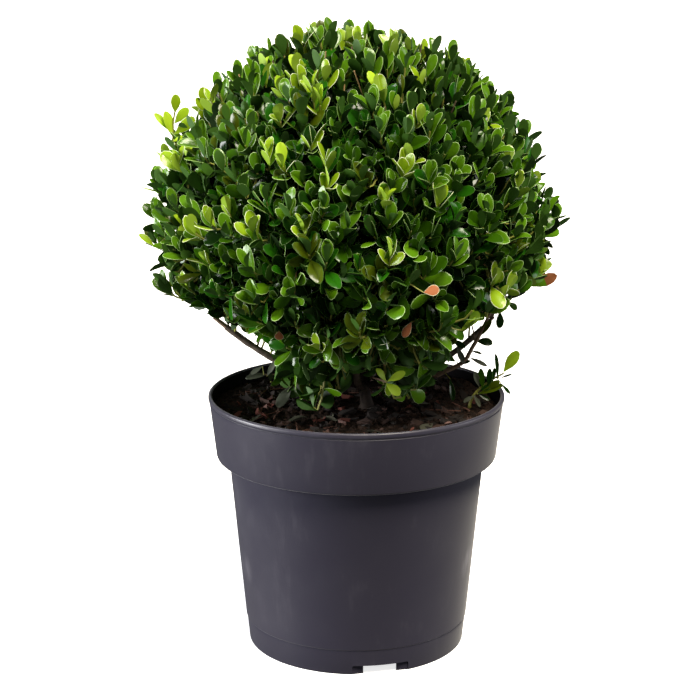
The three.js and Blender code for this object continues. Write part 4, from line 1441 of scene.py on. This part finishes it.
def mass_of(goals, centre):
    """Name of the mass whose space each goal lies in."""
    offsets = goals - centre
    polar = np.arccos(offsets[:, 2] / np.linalg.norm(offsets, axis=1))
    names = np.full(len(goals), "ball", dtype=object)
    for name, bough in BOUGHS.items():
        names[(polar >= SKIRT_POLAR) & quarter_of(offsets, bough["azimuth"])] = name
    low = goals[:, 2] < LOW_SPRIG_HEIGHT[1]
    names[low] = np.where(goals[low, 1] < 0, "front", "back")
    return names


def grow(start, goals):
    """The branching rule: each limb heads for the middle of its goals and forks in two, until one is left."""
    limbs = []
    waiting = [(start, np.arange(len(goals)), -1)]
    while waiting:
        base, members, parent = waiting.pop()
        own = len(limbs)
        if len(members) == 1:
            limbs.append((base, goals[members[0]], 1, parent))
            continue
        group = goals[members]
        middle = group.mean(axis=0)
        spread = np.linalg.norm(group - middle, axis=1).max()
        share = np.clip(1 - FORK_SPREAD * spread / np.linalg.norm(middle - base), FORK_LEAST, FORK_MOST)
        fork = base + (middle - base) * share
        limbs.append((base, fork, len(members), parent))
        widest = np.ptp(group, axis=0).argmax()
        order = members[np.argsort(group[:, widest], kind="stable")]
        half = (len(order) + 1) // 2
        waiting += [(fork, order[:half], own), (fork, order[half:], own)]
    return [np.array(column) for column in zip(*limbs)]


def bough_sprigs(name, rng):
    """Short twigs that rise from a side bough, where the photo shows leaves right down to the bark."""
    count = BOUGH_SPRIGS[name]
    bases = bezier(*bough_curve(name), rng.uniform(*SPRIG_SHARE, count))
    sideways = rng.uniform(-SPRIG_WIDTH, SPRIG_WIDTH, count)
    shifts = [rng.normal(0, SPRIG_STRAY, count), sideways, rng.uniform(*SPRIG_LIFT, count)]
    tips = bases + np.stack(shifts, axis=-1)
    keep = over_sky(tips)
    return [bases[keep], tips[keep], np.ones(keep.sum(), dtype=int), np.full(keep.sum(), -1)]


def spray_shares(owners, keep):
    """For each leaf, the share of its spray's leaves that are kept."""
    return (np.bincount(owners, keep) / np.maximum(np.bincount(owners), 1))[owners]


def leafy_limbs(parents, owners):
    """Which limbs carry leaves, on themselves or further on."""
    leafy = np.zeros(len(parents), dtype=bool)
    leafy[owners] = True
    for limb in range(len(parents) - 1, -1, -1):
        if leafy[limb] and parents[limb] >= 0:
            leafy[parents[limb]] = True
    return leafy


def cut_lines(lines, shares):
    """Lines of twigs, each cut at its own share of its length."""
    steps = lines.shape[1]
    spots = shares[:, None] * np.arange(steps)
    below = np.minimum(spots.astype(int), steps - 2)
    rest = (spots - below)[..., None]
    rows = np.arange(len(lines))[:, None]
    return lines[rows, below] * (1 - rest) + lines[rows, below + 1] * rest


def twig_curves(crown, bases, tips, counts, rng):
    """Bends of twigs between their bases and tips: forked ones run straight, shoots turn out and up."""
    lengths = np.linalg.norm(tips - bases, axis=1)
    headings = (tips - bases) / lengths[:, None]
    outward = unit(tips - crown.centre)
    stray = rng.normal(0, SHOOT_STRAY, tips.shape)
    axes = unit(headings * SHOOT_HEADING + outward * SHOOT_OUTWARD + UP * SHOOT_RISE + stray)
    axes = np.where((counts == 1)[:, None], axes, headings)
    return lengths, tips - axes * (TWIG_BEND * lengths)[:, None]


def grow_mass(crown, bases, tips, counts, rng):
    """Twigs and leaves of one mass, as arrays."""
    lengths, bends = twig_curves(crown, bases, tips, counts, rng)
    lines = np.stack([bezier(bases, bends, tips, np.full(len(tips), s)) for s in TWIG_SHARES], axis=1)
    radii = (TWIG_RADIUS * counts ** TWIG_POWER)[:, None] * TWIG_TAPER
    bark = np.where(counts == 1, GREEN_TWIG, np.where(counts <= TAN_COUNT, TAN_TWIG, WOOD_TWIG))

    leafy = np.flatnonzero(counts <= LEAFY_COUNT)
    spacing = rng.uniform(*PAIR_SPACING, len(leafy))
    nodes = np.clip((lengths[leafy] / spacing).astype(int) + (counts[leafy] == 1), 1, PAIRS_MOST)
    owner = np.repeat(leafy, nodes)
    rank = np.concatenate([np.arange(n) for n in nodes])
    back = (rank + PAIR_INSET) * np.repeat(spacing, nodes)
    share = np.clip(1 - back / lengths[owner], PAIR_SHARE_LEAST, 1)
    curves = bases[owner], bends[owner], tips[owner]
    spots = bezier(*curves, share)
    node_axes = unit(bezier(*curves, np.clip(share + PAIR_AHEAD, 0, 1 + PAIR_AHEAD)) - spots)
    first_spin = np.repeat(rng.uniform(0, math.pi, len(leafy)), nodes)
    age = rank + np.where(counts[owner] == 1, 0, FORK_AGE + counts[owner] * SHOOT_AGE)
    vigour = np.repeat(rng.uniform(0, 1, len(leafy)), nodes)

    pair = np.repeat(np.arange(len(owner)), 2)
    count = len(pair)
    half_turn = np.tile([0, math.pi], len(owner))
    spin = first_spin[pair] + rank[pair] * math.pi / 2 + half_turn + rng.normal(0, PAIR_SPIN_STRAY, count)
    years = np.minimum(age[pair], LEAN_YEARS)
    lean = np.radians(LEAN_YOUNG + LEAN_BY_YEAR * years + rng.normal(0, LEAN_STRAY, count))[:, None]
    axis = node_axes[pair]
    across = side_of(axis)
    across = across * np.cos(spin)[:, None] + np.cross(axis, across) * np.sin(spin)[:, None]
    along = unit(axis * np.cos(lean) + across * np.sin(lean) + UP * LEAF_RISE)
    up = axis * np.sin(lean) - across * np.cos(lean)
    up = unit(up + rng.normal(0, FACE_STRAY, up.shape) + UP * FACE_RISE)
    size = np.clip(YOUNG_SIZE + SIZE_BY_YEAR * age[pair], *SIZE_BOUNDS) * rng.uniform(*SIZE_STRAY, count)
    cups = rng.uniform(*LEAF_CUP, count)
    curls = rng.normal(*LEAF_CURL, count)
    widths = crown.leaf_width * size * rng.uniform(*WIDTH_STRAY, count)
    blades = leaf_points(spots[pair], along, up, crown.leaf_length * size, widths, cups, curls)
    leaves = dict(blades=blades, age=age[pair], vigour=vigour[pair], owner=owner[pair], share=share[pair])
    return dict(lines=lines, radii=radii, bark=bark, **leaves)


def leaf_tints(crown, grown, rng):
    """Deals out the tints: fresh at the tips of strong shoots, darker with age, and darker with depth in the
    crown as painted shade.
    """
    age, vigour = grown["age"], grown["vigour"]
    middle = grown["blades"].mean(axis=1)
    depth = crown.depth(middle)
    rise = (middle[:, 2] - crown.centre[2]) / crown.radius
    fresh_share = FRESH_SHARE + FRESH_TO_TOP * rise + FRESH_TO_RIGHT * middle[:, 0] / crown.radius
    luck = rng.uniform(0, 1, len(age))
    # Depth in the crown darkens the tint as painted shade; age darkens it as the leaves' own colour
    shade = depth + YEAR_DEPTH * age
    stray = DEPTH_STRAY * (luck - 0.5)
    tint = np.full(len(age), DARK)
    tint[shade < MID_DEPTH + stray] = MID
    tint[shade < BRIGHT_DEPTH + stray] = BRIGHT
    young = (vigour < fresh_share) & (age < FRESH_AGE) & (depth < FRESH_DEPTH)
    tint[young | (depth < OUTGROWN)] = FRESH
    tint[(vigour < LIME_SHARE * fresh_share) & (age < LIME_AGE) & (depth < LIME_DEPTH)] = LIME
    # Leaves low under the crown get bright or mid tints in place of dark: painted light against the crown's
    # shade
    low = middle[:, 2] < LOW_TINT_TOP
    tint[low] = np.where(luck[low] < LOW_PAINTED_LIGHT_SHARE, BRIGHT, MID)
    spray = SPRAY_MIX * vigour % 1
    tint[(tint == MID) & (spray < EMERALD_SHARE)] = EMERALD
    olive_share = OLIVE_SHARE + OLIVE_TO_TOP * np.clip(rise, 0, 1) ** OLIVE_POWER
    tint[((tint == MID) | (tint == BRIGHT)) & (spray > 1 - olive_share)] = OLIVE
    return tint


def clear_leaves(crown, blades):
    """Which leaves keep inside the outline and clear of the limbs, the soil and the pot."""
    stray = np.linalg.norm(blades[:, :1] - STRAY_SHOOTS, axis=-1).min(axis=1) < STRAY_REACH
    keep = stray | (crown.depth(blades[:, LEAF_TIP]) > -OVERHANG)
    bottom = blades[..., 2].min(axis=1)
    keep &= bottom > LEAF_BOTTOM
    ragged = np.array([noise.noise(Vector(root / RAGGED_SPREAD)) for root in blades[:, 0]])
    lifted = blades + UP * (UNDERSIDE_RAGGED * ragged)[:, None, None]
    keep &= over_sky(lifted).all(axis=1) & ~before_window(blades).any(axis=1)
    spread = np.hypot(blades[..., 0], blades[..., 1])
    keep &= ~((spread > RIM_SPREAD) & (blades[..., 2] < RIM_CLEAR)).any(axis=1)
    low = np.flatnonzero(keep & (bottom < LIMBS_TOP))
    probes = blades[low][:, LEAF_SPINE]
    for spot in crown.limbs:
        near = np.linalg.norm(probes - spot[:3], axis=-1).min(axis=1) < spot[3]
        keep[low[near]] = False
    return keep


def leaf_piece(name, blades, tints, materials):
    slots = LEAF_SLOTS[tints][:, LEAF_KINDS]
    return joined_copies(name, blades, LEAF_FACES, materials, slots, LEAVES_SHARP)


class TwigBundle:
    """Twigs that are gathered into one piece: lines, radii along them and kinds of bark."""

    def __init__(self):
        self.parts = []

    def add(self, lines, radii, bark):
        self.parts.append((lines, np.broadcast_to(radii, lines.shape[:2]), np.broadcast_to(bark, len(lines))))

    def places(self):
        return np.concatenate([lines for lines, _, _ in self.parts]).reshape(-1, 3)

    def piece(self, name, materials):
        lines, radii, barks = (np.concatenate(column) for column in zip(*self.parts))
        faces = tube_faces(len(TWIG_SHARES), TWIG_SIDES)
        slots = np.repeat(barks[:, None], len(faces), axis=1)
        points = tube_points(lines, radii, TWIG_SIDES)
        return joined_copies(name, points, faces, materials, slots, ROUNDED_SHARP)


def grow_foliage(context, names, seed):
    """Grows the masses of these names and yields each one's leaves, their tints and its twigs."""
    settings = context.scene.shrub_foliage
    crown = Crown(settings)
    goals = crown.goals(settings.shoots, np.random.default_rng(SHOOT_SEED))
    masses = mass_of(goals, crown.centre)
    for i, name in enumerate(names):
        rng = np.random.default_rng(seed + i)
        own = goals[masses == name]
        if name in BOUGH_SPRIGS:
            own = own[above_bough(name, own)]
        limb = "leader" if name == "ball" else name
        limbs = grow(stem_line(limb)[1], own)
        if name in BOUGH_SPRIGS:
            limbs = [np.concatenate(columns) for columns in zip(limbs, bough_sprigs(name, rng))]
        *shape, parents = limbs
        grown = grow_mass(crown, *shape, rng)
        tints = leaf_tints(crown, grown, rng)
        owner, bark = grown["owner"], grown["bark"]
        keep = clear_leaves(crown, grown["blades"])
        keep &= ~before_window(grown["lines"][owner]).any(axis=1)
        keep &= spray_shares(owner, keep) >= LEAST_SPRAY
        blades, tints = grown["blades"][keep], tints[keep]

        ends = np.where(bark == GREEN_TWIG, 0.0, 1.0)
        np.maximum.at(ends, owner[keep], grown["share"][keep])
        leafy = leafy_limbs(parents, owner[keep])
        lines = cut_lines(grown["lines"], ends)[leafy]
        twigs = TwigBundle()
        twigs.add(*stem_tube(limb), WOOD_TWIG)
        twigs.add(lines, grown["radii"][leafy], bark[leafy])
        for stem in FREE_STEMS.get(name, ()):
            steps = curve_steps(np.array(stem, dtype=float))
            twigs.add(steps[..., :3], steps[..., 3], GREEN_TWIG if name == "ball" else WOOD_TWIG)
        if name in SINGLE_LEAVES:
            single, own_tints = placed_leaves(SINGLE_LEAVES[name], rng)
            blades, tints = np.concatenate([blades, single]), np.concatenate([tints, own_tints])
            twigs.add(leaf_stalks(single[:, 0], twigs.places()), STALK_RADIUS, GREEN_TWIG)
        if name == "ball":
            bare = clipped_ends(crown, lines[bark[leafy] == GREEN_TWIG, -1], rng)
            twigs.add(bare, CLIPPED_RADIUS, TAN_TWIG + np.arange(len(bare)) % 2)
        yield name, blades, tints, twigs


def stem_tube(name):
    """Line and radii of the stem that carries a mass on from its bough's tip."""
    radius = limb_sizes(name)["tip"]
    line = curve_steps(np.array(stem_line(name)))
    return line, np.linspace(radius, radius * STEM_TAPER, len(TWIG_SHARES))


def clipped_ends(crown, tips, rng):
    """Bare ends of clipped shoots, each from the tip of a shoot to about the crown's outline."""
    rise = (tips[:, 2] - crown.centre[2]) / crown.radius
    tips = tips[(rise > CLIPPED_RISE) & (rng.uniform(0, 1, len(tips)) < CLIPPED_SHARE)]
    ways = unit(unit(tips - crown.centre) + UP + rng.normal(0, CLIPPED_STRAY, tips.shape))
    lengths = np.maximum(crown.depth(tips) + rng.uniform(*CLIPPED_REACH, len(tips)), CLIPPED_LEAST)
    return tips[:, None] + ways[:, None] * (lengths[:, None] * TWIG_SHARES)[..., None]


def curve_steps(points):
    """Cuts a chain of points into runs of a twig's rings, one for every span of the chain."""
    share = TWIG_SHARES[None, :, None]
    return points[:-1, None] * (1 - share) + points[1:, None] * share


def placed_leaves(leaves, rng):
    """Corners and tints of leaves that are given by root, tip, width and tint."""
    roots, tips, widths, tints = (np.array(column) for column in zip(*leaves))
    ways = tips - roots
    facing = FACING + rng.normal(0, FACING_STRAY, ways.shape)
    cups = rng.uniform(*PLACED_CUP, len(leaves))
    curls = rng.uniform(*PLACED_CURL, len(leaves))
    return leaf_points(roots, ways, facing, np.linalg.norm(ways, axis=1), widths, cups, curls), tints


def leaf_stalks(roots, places):
    """A straight stalk from each root to the nearest place on the twigs."""
    nearest = np.linalg.norm(roots[:, None] - places, axis=-1).argmin(axis=1)
    return np.concatenate([curve_steps(np.stack(ends)) for ends in zip(places[nearest], roots)])


def above_bough(name, goals):
    """Which goals of an open side lie above its bare bough."""
    line = bezier(*bough_curve(name), np.linspace(0, 1, BARE_BOUGH_PROBES))
    order = np.argsort(np.abs(line[:, 0]))
    spread = np.hypot(goals[:, 0], goals[:, 1])
    height = np.interp(spread, np.abs(line[order, 0]), line[order, 2])
    return goals[:, 2] > height + BARE_BOUGH_CLEAR


# Pieces that the ball's leaves are shared out to, by azimuth in degrees
BALL_QUARTERS = {"right": 0, "back": 90, "left": 180, "front": -90}


class SHRUB_OT_make_ball(Operator):
    """Grow the clipped ball's twigs and leaves from the leader"""

    bl_idname = "shrub.make_ball"
    bl_label = "Clipped Ball"

    def execute(self, context):
        leaves = leaf_materials(context.scene.shrub_foliage)
        for _, blades, tints, twigs in grow_foliage(context, ["ball"], BALL_SEED):
            for name, azimuth in BALL_QUARTERS.items():
                own = quarter_of(blades[:, 0], azimuth)
                piece = leaf_piece(f"ball_leaves_{name}", blades[own], tints[own], leaves)
                settle(piece, "foliage", "foliage_ball")
            settle(twigs.piece("ball_twigs", twig_materials()), "foliage", "foliage_ball")
        return {"FINISHED"}


class SHRUB_OT_make_low_foliage(Operator):
    """Grow the loose foliage under the ball, one mass from each bough"""

    bl_idname = "shrub.make_low_foliage"
    bl_label = "Low Foliage"

    def execute(self, context):
        leaves = leaf_materials(context.scene.shrub_foliage)
        barks = twig_materials()
        for name, blades, tints, twigs in grow_foliage(context, list(BOUGHS), LOW_SEED):
            settle(leaf_piece(f"low_{name}_leaves", blades, tints, leaves), "foliage", f"foliage_{name}")
            settle(twigs.piece(f"low_{name}_twigs", barks), "foliage", f"foliage_{name}")
        return {"FINISHED"}


LOW_SHOOT_FOOT = np.array([88.0, 0.0, 187.1])
LOW_SHOOT_TIP = np.array([114.0, -4.0, 216.0])
LOW_SHOOT_RADII = np.linspace(1.3, 0.7, 10)
# Leaves of the low shoot: root, tip, width and tint; its grey leaves are painted sheen
LOW_SHOOT_LEAVES = (
    ((113.5, -4, 216.5), (125, -5, 234), 9.5, FRESH),
    ((109.5, -4, 211), (108, -4, 231.5), 4.0, DARK),
    ((111, -4, 212), (120.5, -5, 215.5), 2.0, DARK),
    ((105, -4, 208), (106.7, -4, 220.5), 4.5, DARK),
    ((102.5, -5, 204.5), (103, -6, 220.5), 5.0, DARK),
    ((98, -4, 203), (96, -5, 220), 5.5, MID),
    ((112, -5, 208), (119.5, -6, 200), 3.0, DARK),
    ((94, -5, 199.5), (113.5, -8, 208), 6.0, OLIVE),
    ((101, -6, 203), (110, -9, 211), 6.0, OLIVE),
    ((95.5, -3, 204.5), (91, -6, 217.5), 5.0, GREY_SHEEN),
    ((96, -4, 203), (104, -6, 206), 5.0, DARK),
    ((91, -4, 199), (96, -9, 190.5), 3.5, GREY_SHEEN),
    ((94, -4, 200), (103, -7, 195), 3.5, DARK),
    ((91, -4, 198), (83, -8, 194), 4.0, GREY_SHEEN),
)


class SHRUB_OT_make_low_shoot(Operator):
    """Grow the small shoot that leans over the rim at the right"""

    bl_idname = "shrub.make_low_shoot"
    bl_label = "Low Shoot"

    def execute(self, context):
        bend = limb_bend(LOW_SHOOT_FOOT, LOW_SHOOT_TIP)
        line = bezier(LOW_SHOOT_FOOT, bend, LOW_SHOOT_TIP, np.linspace(0, 1, len(LOW_SHOOT_RADII)))
        blades, tints = placed_leaves(LOW_SHOOT_LEAVES, np.random.default_rng(LOW_SHOOT_SEED))
        twigs = TwigBundle()
        twigs.add(curve_steps(line), curve_steps(LOW_SHOOT_RADII[:, None])[..., 0], GREEN_TWIG)
        twigs.add(leaf_stalks(blades[:, 0], line), STALK_RADIUS, GREEN_TWIG)
        settle(twigs.piece("low_shoot_stem", twig_materials()), "foliage", "foliage_low_shoot")
        leaves = leaf_materials(context.scene.shrub_foliage)
        settle(leaf_piece("low_shoot_leaves", blades, tints, leaves), "foliage", "foliage_low_shoot")
        return {"FINISHED"}


# Stage: sizes in metres, angles in degrees

FLOOR_RADIUS = 14
FLOOR_GLOW = 0.75
FLOOR_SIDE_GLOW = 0.28
SKY_GLOW = 0.32
PANEL_STRENGTH = 6.7
PANEL_COLOUR = "#fff5e2"
PANEL_SPREAD = 30
PANEL_TURN = (26, 14, 0)

# Softboxes: name, place, size and strength, and the point that they are turned to
SOFTBOXES = (
    ("softbox_left", (-1.7, -0.25, 0.35), 1.0, 68),
    ("softbox_right", (1.7, -0.1, 0.45), 0.9, 11),
)
SOFTBOX_AIM = Vector((0, 0, 0.25))


def add_light(name, kind, strength):
    """A light and its object in the scene."""
    light = bpy.data.lights.new(name, kind)
    light.energy = strength
    lamp = bpy.data.objects.new(name, light)
    bpy.context.scene.collection.objects.link(lamp)
    return light, lamp


class SHRUB_OT_make_stage(Operator):
    """Lay the pale floor, hang the soft lights and set the camera"""

    bl_idname = "shrub.make_stage"
    bl_label = "Floor, Light and Camera"

    def execute(self, context):
        scene = context.scene
        settings = scene.shrub_stage
        bm = bmesh.new()
        bmesh.ops.create_circle(bm, cap_ends=True, segments=96, radius=FLOOR_RADIUS)
        name = "paper_floor_lit_from_below"
        paper, _, shader = new_material(name, settings.floor, roughness=0.9, ior=1.45)
        shader.inputs["Emission Color"].default_value = (1, 1, 1, 1)
        shader.inputs["Emission Strength"].default_value = FLOOR_GLOW
        floor = add_piece("floor", mesh_from(bm, "floor"), [paper])
        floor.visible_diffuse = False
        floor.visible_glossy = False

        world = bpy.data.worlds.new("studio")
        world.use_nodes = True
        tree = world.node_tree
        heading = add_node(tree, "ShaderNodeTexCoord", "Generated")
        rise = add_node(tree, "ShaderNodeSeparateXYZ", "Z", {"Vector": heading})
        glow = add_node(tree, "ShaderNodeMapRange", "Result", {
            "Value": rise, "From Min": -0.5, "From Max": 1.0, "To Min": FLOOR_SIDE_GLOW, "To Max": SKY_GLOW,
        })
        background = tree.nodes["Background"]
        tree.links.new(glow, background.inputs["Strength"])
        background.inputs["Color"].default_value = (1, 1, 1, 1)
        world.cycles_visibility.glossy = False
        scene.world = world

        panel, lamp = add_light("overhead_panel", "SUN", PANEL_STRENGTH)
        panel.color = linear(PANEL_COLOUR)
        panel.angle = math.radians(PANEL_SPREAD)
        lamp.rotation_euler = [math.radians(turn) for turn in PANEL_TURN]
        for name, place, size, watts in SOFTBOXES:
            box, lamp = add_light(name, "AREA", watts)
            box.size = size
            lamp.location = place
            lamp.rotation_euler = (SOFTBOX_AIM - Vector(place)).to_track_quat("-Z", "Y").to_euler()

        camera_data = bpy.data.cameras.new("camera")
        camera_data.sensor_width = CAMERA_SENSOR
        camera_data.lens = settings.lens / MM
        camera = bpy.data.objects.new("camera", camera_data)
        camera.location = CAMERA_PLACE
        camera.rotation_euler = (math.radians(90 - CAMERA_TILT), 0, 0)
        scene.collection.objects.link(camera)
        scene.camera = camera
        scene.view_settings.view_transform = "Standard"
        return {"FINISHED"}


class SHRUB_PT_pieces(Panel):
    """Lists the shrub's pieces in the sidebar"""

    bl_label = "Potted Ball Shrub"
    bl_space_type = "VIEW_3D"
    bl_region_type = "UI"
    bl_category = "Shrub"

    def draw(self, context):
        for operator in PIECES:
            self.layout.operator(operator.bl_idname)


SETTINGS = {
    "shrub_pot": PotSettings,
    "shrub_soil": SoilSettings,
    "shrub_limbs": LimbSettings,
    "shrub_foliage": FoliageSettings,
    "shrub_stage": StageSettings,
}
PIECES = (
    SHRUB_OT_make_stage,
    SHRUB_OT_make_pot,
    SHRUB_OT_make_soil,
    SHRUB_OT_make_litter,
    SHRUB_OT_make_limbs,
    SHRUB_OT_make_ball,
    SHRUB_OT_make_low_foliage,
    SHRUB_OT_make_low_shoot,
)
CLASSES = (*SETTINGS.values(), *PIECES, SHRUB_PT_pieces)


def register():
    for cls in CLASSES:
        bpy.utils.register_class(cls)
    for name, group in SETTINGS.items():
        setattr(bpy.types.Scene, name, PointerProperty(type=group))


def unregister():
    for name in SETTINGS:
        delattr(bpy.types.Scene, name)
    for cls in reversed(CLASSES):
        bpy.utils.unregister_class(cls)


def main():
    register()
    for operator in PIECES:
        group, name = operator.bl_idname.split(".")
        getattr(getattr(bpy.ops, group), name)()


if __name__ == "__main__":
    main()
